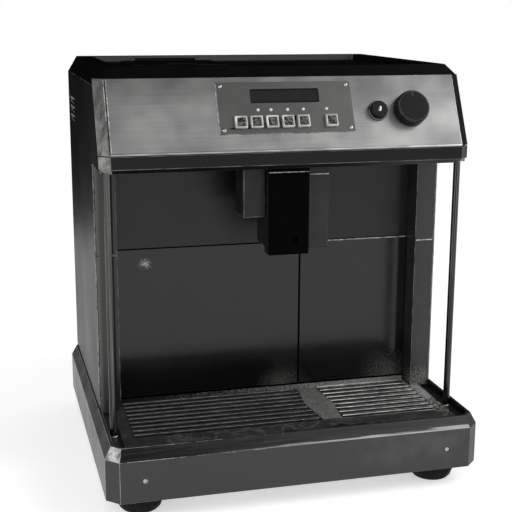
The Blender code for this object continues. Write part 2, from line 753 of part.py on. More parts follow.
def make_fascia():
    """A sheet with folded corners, and the holes for all that passes through it."""
    fold_in = HEAD_CHAMFER * math.cos(FASCIA_LEAN)
    fold_up = HEAD_CHAMFER * math.sin(FASCIA_LEAN)
    half = FASCIA_HALF
    low = [(-HEAD_HALF, fold_in, fold_up), (-half, 0, 0), (half, 0, 0), (HEAD_HALF, fold_in, fold_up)]
    high = [(x, y, z + FASCIA_LENGTH) for x, y, z in low]
    fascia = piece("fascia", loft("fascia", [low, high], closed=False), "brushed_steel", FASCIA_FRAME)
    thicken(fascia, FASCIA_SHEET)
    reach = 10 * FASCIA_SHEET
    opening = (
        (PLATE_LEFT + PLATE_LAP, -reach, PLATE_LOW + PLATE_FOOT_LAP),
        (PLATE_RIGHT - PLATE_LAP, reach, PLATE_HIGH - PLATE_LAP),
    )
    bm = bmesh.new()
    add_box(bm, *opening)
    for x, z in plate_screw_places():
        add_rod(bm, (x, 0, z), SCREW_SHANK + GAP, 2 * reach, "Y", 8)
    add_rod(bm, (LOCK_X, 0, LOCK_HEIGHT), LOCK_RADIUS + GAP, 2 * reach, "Y", 24)
    add_rod(bm, (KNOB_X, 0, KNOB_HEIGHT), SHAFT_RADIUS + GAP, 2 * reach, "Y", 16)
    cut(fascia, tool("fascia_holes", mesh_of("fascia_holes", bm), FASCIA_FRAME))


def plate_screw_places():
    inset = PLATE_SCREW_INSET
    across = (PLATE_LEFT + inset, PLATE_RIGHT - inset)
    return [(x, z) for x in across for z in (PLATE_LOW + inset, PLATE_HIGH - inset)]


def make_controls():
    plate_back = -GAP
    plate_front = plate_back - PLATE_THICKNESS
    half = BUTTON_SIZE / 2
    hole = half + GAP
    low, high = BUTTON_HEIGHT - hole, BUTTON_HEIGHT + hole
    holes = [rectangle(x - hole, x + hole, low, high) for x in BUTTON_PLACES]
    holes.append(rectangle(WINDOW_LEFT, WINDOW_RIGHT, WINDOW_LOW, WINDOW_HIGH))
    holes += [circle(x, LIGHT_HEIGHT, LIGHT_RADIUS + GAP, 8) for x in LIGHT_PLACES]
    holes += [circle(x, z, SCREW_SHANK + GAP, 8) for x, z in plate_screw_places()]
    outline = rectangle(PLATE_LEFT, PLATE_RIGHT, PLATE_LOW, PLATE_HIGH)
    middle = (plate_front + plate_back) / 2
    plate("control_plate", outline, PLATE_THICKNESS, "front", middle, "dark_steel", holes, FASCIA_FRAME)

    low = (WINDOW_LEFT + GAP, plate_front + GAP, WINDOW_LOW + GAP)
    high = (WINDOW_RIGHT - GAP, plate_back + PLASTIC, WINDOW_HIGH - GAP)
    box("display_window", low, high, "clear_smoke", FASCIA_FRAME)

    for i, x in enumerate(BUTTON_PLACES, 1):
        low = (x - half, plate_front - BUTTON_PROUD, BUTTON_HEIGHT - half)
        high = (x + half, BOARD_DEPTH - 2 * BUTTON_TRAVEL, BUTTON_HEIGHT + half)
        box(f"button_{i}", low, high, "silver_key", FASCIA_FRAME, bevel=0.8 * MM)

    rib = LIGHT_RADIUS * 0.7
    bar = (
        (LIGHT_PLACES[0] - 3 * MM, GAP, LIGHT_HEIGHT - rib),
        (LIGHT_PLACES[-1] + 3 * MM, GAP + PLASTIC, LIGHT_HEIGHT + rib),
    )
    guide = box("indicator_light_pipe", *bar, "light_guide", FASCIA_FRAME)
    length = PLATE_THICKNESS + 2 * PLASTIC
    places = [(x, plate_front - GAP + length / 2, LIGHT_HEIGHT) for x in LIGHT_PLACES]
    pips = rods("light_pips", places, LIGHT_RADIUS, length, "Y", 8)
    join(guide, tool("light_pips", pips, FASCIA_FRAME))

    edge = PLATE_LAP + GAP + SLIDE_GAP
    low = (PLATE_LEFT + edge, BOARD_DEPTH, PLATE_LOW + edge)
    high = (PLATE_RIGHT - edge, BOARD_DEPTH + BOARD_THICKNESS, PLATE_HIGH - edge)
    board = box("control_board", low, high, "board_green", FASCIA_FRAME)
    stand = 2.5 * MM
    across = (low[0] + stand + GAP, high[0] - stand - GAP)
    length = BOARD_DEPTH + BOARD_THICKNESS / 2
    places = [(x, length / 2, z) for x in across for z in (low[2] + stand + GAP, high[2] - stand - GAP)]
    join(board, tool("board_stands", rods("board_stands", places, stand, length, "Y", 10), FASCIA_FRAME))

    outward = (math.pi / 2, 0, 0)
    head, shank = 1.3 * MM, PLATE_THICKNESS + FASCIA_SHEET + 3 * MM
    profile = [
        (0, head),
        (SCREW_RADIUS * 0.6, head * 0.85),
        (SCREW_RADIUS, head * 0.3),
        (SCREW_RADIUS, 0),
        (SCREW_SHANK, 0),
        (SCREW_SHANK, -shank),
        (0, -shank),
    ]
    for i, (x, z) in enumerate(plate_screw_places(), 1):
        place = (x, plate_front - GAP, z)
        smooth(turned(f"plate_screw_{i}", profile, "zinc_sheet", FASCIA_FRAME, place, outward, steps=10))


def make_lock_and_knob():
    outward = (math.pi / 2, 0, 0)
    inner = LOCK_RADIUS + GAP
    outer = inner + LOCK_COLLAR
    profile = [(outer - 0.5 * MM, 3 * MM), (outer, 2 * MM), (outer, GAP), (inner, GAP), (inner, 3 * MM)]
    place = (LOCK_X, 0, LOCK_HEIGHT)
    smooth(turned("lock_collar", profile, "chrome", FASCIA_FRAME, place, outward, steps=28, ring=True))
    edge = 0.8 * MM
    profile = [
        (0, LOCK_PROUD),
        (LOCK_RADIUS - edge, LOCK_PROUD),
        (LOCK_RADIUS, LOCK_PROUD - edge),
        (LOCK_RADIUS, -2 * LOCK_PROUD),
        (0, -2 * LOCK_PROUD),
    ]
    lock = turned("lock_cylinder", profile, "black_plastic", FASCIA_FRAME, place, outward, steps=28)
    smooth(lock)
    half_width, half_length, depth = 1 * MM, 3.6 * MM, 3 * MM
    slot = (
        (-half_width, -half_length, LOCK_PROUD - depth),
        (half_width, half_length, LOCK_PROUD + depth),
    )
    cut(lock, tool("key_slot", boxes("key_slot", [slot]), FASCIA_FRAME, place, outward))

    place = (KNOB_X, 0, KNOB_HEIGHT)
    foot = GAP + SLIDE_GAP
    profile = [
        (0, KNOB_PROUD),
        (KNOB_RADIUS - 2.5 * MM, KNOB_PROUD),
        (KNOB_RADIUS - 1.1 * MM, KNOB_PROUD - 0.9 * MM),
        (KNOB_RADIUS - 0.6 * MM, KNOB_PROUD - 2.4 * MM),
        (KNOB_RADIUS, foot),
        (SHAFT_RADIUS, foot),
        (SHAFT_RADIUS, -FASCIA_SHEET),
        (0, -FASCIA_SHEET),
    ]
    knob = turned("selector_knob", profile, "black_plastic", FASCIA_FRAME, place, outward, steps=36)
    smooth(knob)
    half_width, length, depth = 0.6 * MM, 8 * MM, 0.6 * MM
    mark = (
        (-half_width, KNOB_RADIUS - length, KNOB_PROUD - depth),
        (half_width, KNOB_RADIUS + length, KNOB_PROUD + depth),
    )
    cut(knob, tool("knob_mark", boxes("knob_mark", [mark]), FASCIA_FRAME, place, outward))

    half = ENCODER_SIZE / 2
    low = (KNOB_X - half, FASCIA_SHEET + GAP, KNOB_HEIGHT - half)
    high = (KNOB_X + half, FASCIA_SHEET + GAP + half, KNOB_HEIGHT + half)
    box("knob_encoder", low, high, "black_plastic", FASCIA_FRAME)


def cover_loop(side, front, rear, front_height, side_height):
    """The top cover's outline in plan, moved in by its own amount at the sides, front and rear.

    The skirt's lower edge steps down behind the fascia's corners, and the loops above ease that
    corner.
    """
    half = BODY_HALF - side
    near = FASCIA_TOP_FRONT + front
    far = BODY_REAR - rear
    corner = max(BODY_HALF - FASCIA_HALF - side * (2 - math.sqrt(2)), SHELF_CORNER)
    flat = half - corner
    back = corner * 0.6
    ease = 0 if front_height > side_height else TOP_CORNER_EASE
    right = [
        (flat, near, front_height),
        (half - ease, near + corner + TOP_SET_BACK - ease / 2, front_height),
        (half, near + corner + TOP_SKIRT_STEP, side_height),
        (half, far - back, side_height),
        (half - back, far, side_height),
    ]
    return right + [(-x, y, z) for x, y, z in reversed(right)]


def make_top():
    rim_side, rim_front = TOP_SIDE_BEVEL + SHELF_RIM, TOP_FRONT_BEVEL + SHELF_RIM
    wall = PLASTIC
    foot = FASCIA_TOP + GAP, BODY_TOP + GAP
    under_top = TOP_HEIGHT - wall, TOP_HEIGHT - wall
    under_shelf = CUP_SHELF - wall, CUP_SHELF - wall
    bevel_side, bevel_front = TOP_SIDE_BEVEL + wall / 2, TOP_FRONT_BEVEL + wall / 2
    loops = [  # up the inside, under the rim, down inside the skirt, then back over the outside
        cover_loop(rim_side - wall, rim_front - wall, rim_side - wall, *under_shelf),
        cover_loop(rim_side - wall, rim_front - wall, rim_side - wall, *under_top),
        cover_loop(bevel_side, bevel_front, bevel_side, *under_top),
        cover_loop(wall, wall, wall, *foot),
        cover_loop(0, 0, 0, *foot),
        cover_loop(TOP_SIDE_BEVEL, TOP_FRONT_BEVEL, TOP_SIDE_BEVEL, TOP_HEIGHT, TOP_HEIGHT),
        cover_loop(rim_side, rim_front, rim_side, TOP_HEIGHT, TOP_HEIGHT),
        cover_loop(rim_side, rim_front, rim_side, CUP_SHELF, CUP_SHELF),
    ]
    cover = piece("top_cover", loft("top_cover", loops, floor=True, base=True), "black_sheet")
    mouth = LID_SIZE / 2 - LID_OVERLAP
    low = (LID_CENTRE_X - mouth, LID_Y - mouth, CUP_SHELF - 3 * PLASTIC)
    high = (LID_CENTRE_X + mouth, LID_Y + mouth, CUP_SHELF + PLASTIC)
    cut(cover, tool("lid_mouth", boxes("lid_mouth", [(low, high)])))

    ear = 5 * MM
    ears = []
    for sign in (-1, 1):
        inner = LID_CENTRE_X + sign * (KNUCKLE_LENGTH / 2 + SLIDE_GAP)
        left, right = sorted((inner, inner + sign * ear))
        low = (left, LID_HINGE_Y - ear / 2, CUP_SHELF - PLASTIC / 2)
        ears.append((low, (right, LID_HINGE_Y + ear / 2, LID_HINGE_Z + ear / 2)))
    join(cover, tool("hinge_ears", boxes("hinge_ears", ears)))
    axis = (LID_CENTRE_X, LID_HINGE_Y, LID_HINGE_Z)
    bore = rods("ear_bore", [axis], PIN_RADIUS + GAP, KNUCKLE_LENGTH + 4 * ear, "X", 12)
    cut(cover, tool("ear_bore", bore))

    length = KNUCKLE_LENGTH + 2 * ear
    rod("lid_hinge_pin", axis, PIN_RADIUS, length, "zinc_sheet", "X", sides=12)
    hinge = empty("hopper_lid_hinge", axis, MACHINE)
    low = (-LID_SIZE / 2, LID_Y - LID_SIZE / 2 - LID_HINGE_Y, LID_BOTTOM - LID_HINGE_Z)
    high = (LID_SIZE / 2, 0, LID_BOTTOM + LID_THICKNESS - LID_HINGE_Z)
    lid = box("hopper_lid", low, high, "black_plastic", hinge)
    notch = KNUCKLE_LENGTH / 2
    grip = ((-18 * MM, low[1], low[2] + 1 * MM), (18 * MM, low[1] + 4 * MM, high[2] + 1.8 * MM))
    clear_sides = []
    past = 1 * MM
    for sign in (-1, 1):
        left, right = sorted((sign * notch, sign * LID_SIZE))
        notch_low = (left, -2 * KNUCKLE_RADIUS, low[2] - past)
        clear_sides.append((notch_low, (right, past, high[2] + past)))
    knuckle = rods("knuckle", [(0, 0, 0)], KNUCKLE_RADIUS, KNUCKLE_LENGTH, "X", 16)
    cut(lid, tool("lid_notches", boxes("lid_notches", clear_sides), hinge))
    join(lid, tool("knuckle", knuckle, hinge), tool("lid_grip", boxes("lid_grip", [grip]), hinge))
    bore = rods("pin_bore", [(0, 0, 0)], PIN_RADIUS + GAP, 2 * LID_SIZE, "X", 12)
    cut(lid, tool("pin_bore", bore, hinge))


def make_spouts():
    half = SPOUT_WIDTH / 2
    corner = SPOUT_CORNER
    arc = [math.radians(a) for a in (270, 300, 330, 360)]
    right = [
        (half - corner + corner * math.cos(a), SPOUT_BOTTOM + corner + corner * math.sin(a)) for a in arc
    ]
    right.append((half, SPOUT_TOP))
    outline = right + [(-x, z) for x, z in reversed(right)]
    loops = [[(x, y, z) for x, z in outline] for y in (SPOUT_FRONT + SPOUT_DEPTH, SPOUT_FRONT)]
    block = piece("spout_block", loft("spout_block", loops, floor=True, base=True), "black_plastic")
    left, low = SPOUT_PIT_X - SPOUT_PIT / 2, SPOUT_BOTTOM + SPOUT_PIT_RISE
    pit = (
        (left, SPOUT_FRONT - SPOUT_PIT_DEPTH, low),
        (left + SPOUT_PIT, SPOUT_FRONT + SPOUT_PIT_DEPTH, low + SPOUT_PIT),
    )
    cut(block, tool("spout_pit", boxes("spout_pit", [pit])))

    top = HEAD_BOTTOM - GAP
    inner = half + SLIDE_GAP
    low = (-inner - LEFT_HOUSING_WIDTH, HOUSING_FRONT, LEFT_HOUSING_BOTTOM)
    box("water_outlet_housing", low, (-inner, HOUSING_BACK, top), "grey_plastic", bevel=1 * MM)
    low = (inner, HOUSING_FRONT, RIGHT_HOUSING_BOTTOM)
    high = (inner + RIGHT_HOUSING_WIDTH, HOUSING_BACK, top)
    box("milk_outlet_housing", low, high, "grey_plastic", bevel=1 * MM)
    low = (-half, SPOUT_FRONT + SPOUT_DEPTH + GAP, GUIDE_BOTTOM)
    box("spout_guide", low, (half, HOUSING_BACK, top), "black_plastic")


def make_insides():
    mouth = LID_SIZE / 2 - LID_OVERLAP
    top = CUP_SHELF - PLASTIC - GAP

    def square(half, height):
        right = [(half, -half), (half, half)]
        return [(LID_CENTRE_X + x, LID_Y + y, height) for x, y in right + [(-x, -y) for x, y in right]]

    throat = square(THROAT_SIZE / 2, THROAT_HEIGHT)
    loops = [square(mouth + LID_OVERLAP, top), square(mouth, top), throat]
    thicken(piece("bean_hopper", loft("bean_hopper", loops), "clear_smoke"), PLASTIC)

    top = THROAT_HEIGHT - GAP - PLASTIC - ON_SHELF
    waist = GRINDER_RADIUS * 0.8
    profile = [
        (0, top),
        (GRINDER_RADIUS, top),
        (GRINDER_RADIUS, top * 0.6),
        (waist, top * 0.5),
        (waist, 0),
        (0, 0),
    ]
    smooth(turned("grinder", profile, "grey_plastic", place=(LID_CENTRE_X, LID_Y, ON_SHELF)))

    half = BREW_SIZE / 2
    front = STATION_BACK + SHEET + BREW_FROM_WALL
    low = (-half, front, ON_SHELF)
    brew = box("brew_group", low, (half, front + BREW_SIZE, ON_SHELF + BREW_HEIGHT), "black_plastic")
    centre = (0, front + half, ON_SHELF + BREW_HEIGHT)
    join(brew, tool("brew_cylinder", rods("brew_cylinder", [centre], half * 0.7, half, sides=20)))

    profile = [
        (0, BOILER_HEIGHT),
        (BOILER_RADIUS * 0.5, BOILER_HEIGHT - 3 * MM),
        (BOILER_RADIUS * 0.87, BOILER_HEIGHT - 9 * MM),
        (BOILER_RADIUS, BOILER_HEIGHT - 20 * MM),
        (BOILER_RADIUS, 0),
        (0, 0),
    ]
    smooth(turned("boiler", profile, "copper", place=(BOILER_X, BODY_REAR - BOILER_FROM_REAR, ON_SHELF)))
    middle = (PUMP_X, BODY_REAR - PUMP_FROM_REAR, ON_SHELF + PUMP_RADIUS)
    rod("pump", middle, PUMP_RADIUS, PUMP_LENGTH, "zinc_sheet", "Y", sides=20)


def make_fan():
    """The frame sits on the rear panel; the rotor turns about the frame's middle."""
    axis = empty("fan_axis", (LID_CENTRE_X, REAR_INNER - GAP, FAN_HEIGHT), MACHINE)
    half = FAN_SIZE / 2
    frame = box("fan_frame", (-half, -FAN_DEPTH, -half), (half, 0, half), "black_plastic", axis)
    cut(frame, tool("fan_bore", rods("fan_bore", [(0, 0, 0)], FAN_BORE, 3 * FAN_DEPTH, "Y", 32), axis))
    spoke = 3 * MM
    spokes = [
        ((-FAN_BORE - 1 * MM, -spoke, -spoke / 2), (FAN_BORE + 1 * MM, 0, spoke / 2)),
        ((-spoke / 2, -spoke, -FAN_BORE - 1 * MM), (spoke / 2, 0, FAN_BORE + 1 * MM)),
    ]
    join(frame, *[tool(f"fan_spoke_{i}", boxes("spoke", [ends]), axis) for i, ends in enumerate(spokes)])
    hub = FAN_SIZE * 0.15
    join(frame, tool("fan_seat", rods("fan_seat", [(0, -spoke / 2, 0)], hub, spoke, "Y", 20), axis))

    start, end = -spoke - SLIDE_GAP, -FAN_DEPTH + 2 * MM
    rotor_middle = (0, (start + end) / 2, 0)
    rotor = rod("fan_rotor", rotor_middle, hub, start - end, "grey_plastic", "Y", axis, sides=20)
    bm = bmesh.new()
    reach = FAN_BORE - 1.5 * MM
    for i in range(FAN_BLADES):
        blade = add_box(bm, (hub * 0.8, -7 * MM, -0.7 * MM), (reach, 7 * MM, 0.7 * MM))
        bmesh.ops.rotate(bm, verts=blade, matrix=Matrix.Rotation(math.radians(38), 3, "X"))
        turn = Matrix.Rotation(2 * math.pi * i / FAN_BLADES, 3, "Y")
        bmesh.ops.rotate(bm, verts=blade, matrix=turn)
    join(rotor, tool("fan_blades", mesh_of("fan_blades", bm), axis, rotor_middle))


def make_inlet():
    """The body goes through the rear panel, with a flange outside and the plug's well in it."""
    middle = Vector((INLET_X, 0, INLET_Z))
    face = BODY_REAR + GAP

    def block(width, height, start, end):
        half = Vector((width / 2, 0, height / 2))
        return middle - half + Vector((0, start, 0)), middle + half + Vector((0, end, 0))

    outer = block(INLET_WIDTH, INLET_HEIGHT, REAR_INNER - INLET_DEPTH, face)
    inlet = box("power_inlet", *outer, "black_plastic")
    flange_end = face + INLET_FLANGE
    lap = 2 * INLET_LAP
    flange = block(INLET_WIDTH + lap, INLET_HEIGHT + lap, face, flange_end)
    join(inlet, tool("inlet_flange", boxes("inlet_flange", [flange])))
    wall = 2 * INLET_WALL
    start = REAR_INNER - INLET_DEPTH + INLET_WALL
    core = block(INLET_WIDTH - wall, INLET_HEIGHT - wall, start, flange_end)
    join(inlet, tool("inlet_core", boxes("inlet_core", [core])))
    floor = BODY_REAR - INLET_WELL_DEPTH
    well = block(INLET_WELL_WIDTH, INLET_WELL_HEIGHT, floor, flange_end + INLET_DEPTH)
    cut(inlet, tool("inlet_well", boxes("inlet_well", [well])))
    pins = []
    for x, z in PIN_PLACES:
        low, high = block(PIN_WIDTH, PIN_HEIGHT, floor - INLET_WALL, floor + PIN_LENGTH - INLET_WALL)
        shift = Vector((x, 0, z))
        pins.append((low + shift, high + shift))
    join(inlet, tool("inlet_pins", boxes("inlet_pins", pins)))


clear_scene()
PARTS = new_collection("coffee_vending_machine")
TOOLS = new_collection("cutters")
MACHINE = empty("machine", (0, -BASE_DEPTH / 2, FOOT_HEIGHT))
FASCIA_FRAME = empty("fascia_frame", (0, HEAD_FRONT, BAND_TOP), MACHINE, (-FASCIA_LEAN, 0, 0))

make_base()
make_drip_tray()
make_chassis()
make_drawers()
make_body()
make_posts()
make_head()
make_fascia()
make_controls()
make_lock_and_knob()
make_top()
make_spouts()
make_insides()
make_fan()
make_inlet()
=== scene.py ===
import json
import math

import bmesh
import bpy
from mathutils import Matrix, Vector

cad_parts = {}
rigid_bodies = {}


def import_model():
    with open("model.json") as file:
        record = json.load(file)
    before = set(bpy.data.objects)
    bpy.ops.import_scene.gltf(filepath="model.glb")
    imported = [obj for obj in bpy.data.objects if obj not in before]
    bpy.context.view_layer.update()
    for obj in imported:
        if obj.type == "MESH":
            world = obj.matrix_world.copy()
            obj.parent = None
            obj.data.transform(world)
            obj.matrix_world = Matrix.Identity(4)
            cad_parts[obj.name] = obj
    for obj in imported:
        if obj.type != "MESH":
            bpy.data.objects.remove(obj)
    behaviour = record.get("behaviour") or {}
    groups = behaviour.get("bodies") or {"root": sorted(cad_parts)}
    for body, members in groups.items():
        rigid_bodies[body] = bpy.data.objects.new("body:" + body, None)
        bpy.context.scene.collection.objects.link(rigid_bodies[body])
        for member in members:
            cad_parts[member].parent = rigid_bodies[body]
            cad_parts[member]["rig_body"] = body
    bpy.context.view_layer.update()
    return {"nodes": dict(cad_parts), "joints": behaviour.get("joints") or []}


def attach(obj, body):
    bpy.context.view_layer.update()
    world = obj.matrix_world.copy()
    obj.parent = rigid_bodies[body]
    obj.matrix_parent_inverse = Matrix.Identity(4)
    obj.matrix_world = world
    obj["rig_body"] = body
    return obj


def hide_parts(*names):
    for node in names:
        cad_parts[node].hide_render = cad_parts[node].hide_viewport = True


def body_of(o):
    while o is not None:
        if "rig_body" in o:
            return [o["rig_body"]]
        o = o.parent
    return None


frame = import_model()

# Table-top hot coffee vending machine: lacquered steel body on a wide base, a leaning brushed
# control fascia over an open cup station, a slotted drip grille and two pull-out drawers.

MM = 0.001
SCENE = bpy.context.scene
NODES = frame["nodes"]
JOINTS = {joint["name"]: joint for joint in frame["joints"]}


# ------------ camera

camera_lens = bpy.data.cameras.new("front_left_view")
camera_lens.lens, camera_lens.sensor_width = 75.77, 36.0
camera = bpy.data.objects.new("front_left_view", camera_lens)
camera.location = (-0.339917, -1.287166, 0.552383)
turn, dip, roll = 0.257692, 0.226452, 0.003685
camera.rotation_euler = (
    Matrix.Rotation(-turn, 3, "Z") @ Matrix.Rotation(math.pi / 2 - dip, 3, "X")
    @ Matrix.Rotation(roll, 3, "Z")
).to_euler()
SCENE.collection.objects.link(camera)
SCENE.camera = camera


# ------------ node and colour helpers

def node(tree, kind, inputs=None, **settings):
    """Add one node; inputs maps a socket's name or number to a value or to another node's output.
    By number, Map Range takes a value at 0, its range at 1 and 2 and what it gives at 3 and 4,
    both 0 to 1 if left out; Mix takes a share at 0, numbers at 2 and 3, and colours at 6 and 7."""
    made = tree.nodes.new(kind)
    for setting, value in settings.items():
        setattr(made, setting, value)
    for socket, value in (inputs or {}).items():
        if isinstance(value, bpy.types.NodeSocket):
            tree.links.new(value, made.inputs[socket])
        else:
            made.inputs[socket].default_value = value
    return made


def linear(code):
    """An sRGB hex colour as linear RGBA."""
    parts = [int(code[i:i + 2], 16) / 255 for i in (0, 2, 4)]
    return (*[c / 12.92 if c <= 0.04045 else ((c + 0.055) / 1.055) ** 2.4 for c in parts], 1.0)


def per_metre(size):
    """How many times a pattern of this size in millimetres fits in a metre."""
    return 1 / (size * MM)


def surface(name, constants):
    """A new material with constants on its shader: (material, tree, shader, object coordinates)."""
    material = bpy.data.materials.new(name)
    material.use_nodes = True
    tree = material.node_tree
    shader = tree.nodes["Principled BSDF"]
    for socket, value in constants.items():
        shader.inputs[socket].default_value = value
    return material, tree, shader, node(tree, "ShaderNodeTexCoord").outputs["Object"]


def under_coat(material):
    """What a further layer on a finish needs: (tree, shader, colour so far, object coordinates)."""
    tree = material.node_tree
    shader = tree.nodes["Principled BSDF"]
    under = shader.inputs["Base Color"].links[0].from_socket
    return tree, shader, under, node(tree, "ShaderNodeTexCoord").outputs["Object"]


def coat(tree, shader, colour, roughness=None, relief=None):
    """Lay a coat on a shader. colour is how much of the second tone shows over the first, then
    both tones, each a hex code or a socket. roughness is a pattern, the range of it that counts,
    and the roughness at either end. relief is a height pattern and its depth in millimetres."""
    share, *tones = colour
    first, second = [linear(tone) if isinstance(tone, str) else tone for tone in tones]
    mixed = node(tree, "ShaderNodeMix", {0: share, 6: first, 7: second}, data_type="RGBA")
    tree.links.new(mixed.outputs[2], shader.inputs["Base Color"])
    if roughness:
        rough = node(tree, "ShaderNodeMapRange", dict(enumerate(roughness)))
        tree.links.new(rough.outputs[0], shader.inputs["Roughness"])
    if relief:
        height, depth = relief
        bump = node(tree, "ShaderNodeBump", {"Height": height, "Distance": depth * MM})
        tree.links.new(bump.outputs[0], shader.inputs["Normal"])


# ------------ kinds of finish

def lacquered_steel(name, colour, drift, roughness, peel=0.012, gloss=0.5, cast=(90, 90, 90),
                    smear=28):
    """Baked satin lacquer on folded mild steel: smooth, near black, with a 4% sheen, a slow drift
    of tone over a hand's width, faint wipe smears, and orange peel about 2 mm across."""
    material, tree, shader, place = surface(name, {"IOR": 1.5, "Specular IOR Level": gloss})
    drawn = node(tree, "ShaderNodeMapping", {"Vector": place, "Scale": [per_metre(s) for s in cast]})
    tone = node(tree, "ShaderNodeTexNoise", {"Vector": drawn.outputs[0], "Scale": 1.0, "Detail": 3.0})
    wiped = node(tree, "ShaderNodeTexNoise", {"Vector": place, "Scale": per_metre(smear), "Detail": 3.0})
    skin = node(tree, "ShaderNodeTexNoise", {"Vector": place, "Scale": per_metre(2.2)})
    coat(tree, shader, (tone.outputs[0], colour, drift),
         (wiped.outputs[0], 0.3, 0.7, roughness * 0.88, roughness * 1.14), (skin.outputs[0], peel))
    return material


def brushed_steel(name, dark, light, roughness, blotch, along=(60, 0.7, 0.7), scratch=0.01,
                  grained=0.45):
    """Stainless sheet with a belt-brushed grain: streaks tens of millimetres long, drawn 0.7 mm wide
    so that they show, over slow blotches where hands have polished it. Metals keep their own IOR."""
    material, tree, shader, place = surface(name, {"Metallic": 1.0})
    drawn = node(tree, "ShaderNodeMapping", {"Vector": place, "Scale": [per_metre(s) for s in along]})
    streak = node(tree, "ShaderNodeTexNoise", {"Vector": drawn.outputs[0], "Scale": 1.0,
                                               "Detail": 4.0, "Roughness": 0.6})
    cloud = node(tree, "ShaderNodeTexNoise", {"Vector": place, "Scale": per_metre(blotch)})
    both = node(tree, "ShaderNodeMix", {0: grained, 2: cloud.outputs[0], 3: streak.outputs[0]})
    even = node(tree, "ShaderNodeMapRange", {0: both.outputs[0], 1: 0.38, 2: 0.62})
    coat(tree, shader, (even.outputs[0], dark, light),
         (streak.outputs[0], 0.3, 0.7, roughness * 0.8, roughness * 1.2), (streak.outputs[0], scratch))
    return material


def moulded_plastic(name, colour, scuffed, roughness, grain=0.8, depth=0.03, gloss=0.5, metallic=0.0):
    """Injection-moulded ABS from a spark-eroded tool: a fine leathery grain 0.8 mm across, and
    slightly paler scuffs a few millimetres across where it has been rubbed."""
    material, tree, shader, place = surface(name, {"IOR": 1.5, "Specular IOR Level": gloss,
                                                   "Metallic": metallic})
    wear_and_highlight_noise = node(tree, "ShaderNodeTexNoise", {"Vector": place, "Scale": per_metre(9), "Detail": 5.0})
    wear_and_highlight_share = node(tree, "ShaderNodeMapRange", {0: wear_and_highlight_noise.outputs[0], 1: 0.45, 2: 0.75})
    skin = node(tree, "ShaderNodeTexNoise", {"Vector": place, "Scale": per_metre(grain)})
    coat(tree, shader, (wear_and_highlight_share.outputs[0], colour, scuffed),
         (wear_and_highlight_share.outputs[0], 0.0, 1.0, roughness, roughness * 0.8), (skin.outputs[0], depth))
    return material


def highlight_and_speck_patches(name, dull, bright, patch=22, slope=0.0, level=0.51, roughness=0.4, spread=0.11,
                gloss=0.5):
    """Two tones in patches a finger wide, with more of the bright one towards one hand when slope is set.
    Along folds, edges and seams the bright tone is a painted highlight; on the grille and the key lenses it
    is hard-water specks and mottling."""
    material, tree, shader, place = surface(name, {"IOR": 1.5, "Specular IOR Level": gloss})
    wear_and_highlight_noise = node(tree, "ShaderNodeTexNoise", {"Vector": place, "Scale": per_metre(patch), "Detail": 6.0,
                                            "Roughness": 0.65})
    apart = node(tree, "ShaderNodeSeparateXYZ", {0: place})
    handed = node(tree, "ShaderNodeMath", {0: apart.outputs[0], 1: slope, 2: wear_and_highlight_noise.outputs[0]},
                  operation="MULTIPLY_ADD")
    wear_and_highlight_share = node(tree, "ShaderNodeMapRange", {0: handed.outputs[0], 1: level - spread, 2: level + spread})
    coat(tree, shader, (wear_and_highlight_share.outputs[0], dull, bright),
         (wear_and_highlight_share.outputs[0], 0.0, 1.0, roughness * 1.3, roughness))
    return material


def lip_with_painted_light(name, fold):
    """Lacquer on the sloped front lip: dark and streaky on the left and painted greyer to the right as
    painted light, with a ragged band up to 4 mm wide at the fold painted pale as a painted highlight;
    the fold's height is in metres."""
    material, tree, shader, place = surface(name, {"IOR": 1.5, "Specular IOR Level": 0.12, "Roughness": 0.36})
    apart = node(tree, "ShaderNodeSeparateXYZ", {0: place})
    drawn = node(tree, "ShaderNodeMapping", {"Vector": place, "Scale": [per_metre(s) for s in (60, 3, 2)]})
    streak = node(tree, "ShaderNodeTexNoise", {"Vector": drawn.outputs[0], "Scale": 1.0, "Detail": 5.0})
    handed = node(tree, "ShaderNodeMath", {0: apart.outputs[0], 1: 1.9, 2: streak.outputs[0]},
                  operation="MULTIPLY_ADD")
    # Painted light: the lacquer turns greyer towards the right, where the light falls.
    painted_light_ramp = node(tree, "ShaderNodeMapRange", {0: handed.outputs[0], 1: 0.1, 2: 0.95})
    lacquer = node(tree, "ShaderNodeMix", {0: painted_light_ramp.outputs[0], 6: linear("0c0c0c"), 7: linear("464645")},
                   data_type="RGBA")
    # The band's width grows from 0.8 mm at the left to 3.4 mm; streaks make its upper edge wander.
    width = node(tree, "ShaderNodeMapRange", {0: apart.outputs[0], 1: -0.12, 2: 0.2,
                                              3: 0.8 * MM, 4: 3.4 * MM})
    above = node(tree, "ShaderNodeMath", {0: apart.outputs[2], 1: fold}, operation="SUBTRACT")
    share = node(tree, "ShaderNodeMath", {0: above.outputs[0], 1: width.outputs[0]}, operation="DIVIDE")
    ragged = node(tree, "ShaderNodeMath", {0: streak.outputs[0], 1: 3.2, 2: share.outputs[0]},
                  operation="MULTIPLY_ADD")
    band = node(tree, "ShaderNodeMapRange", {0: ragged.outputs[0], 1: 2.2, 2: 2.75, 3: 1.0, 4: 0.0})
    reach = node(tree, "ShaderNodeMapRange", {0: apart.outputs[0], 1: -0.13, 2: 0.08})
    highlight_band = node(tree, "ShaderNodeMath", {0: band.outputs[0], 1: reach.outputs[0]}, operation="MULTIPLY")
    coat(tree, shader, (highlight_band.outputs[0], lacquer.outputs[2], "b0b0ad"))
    return material


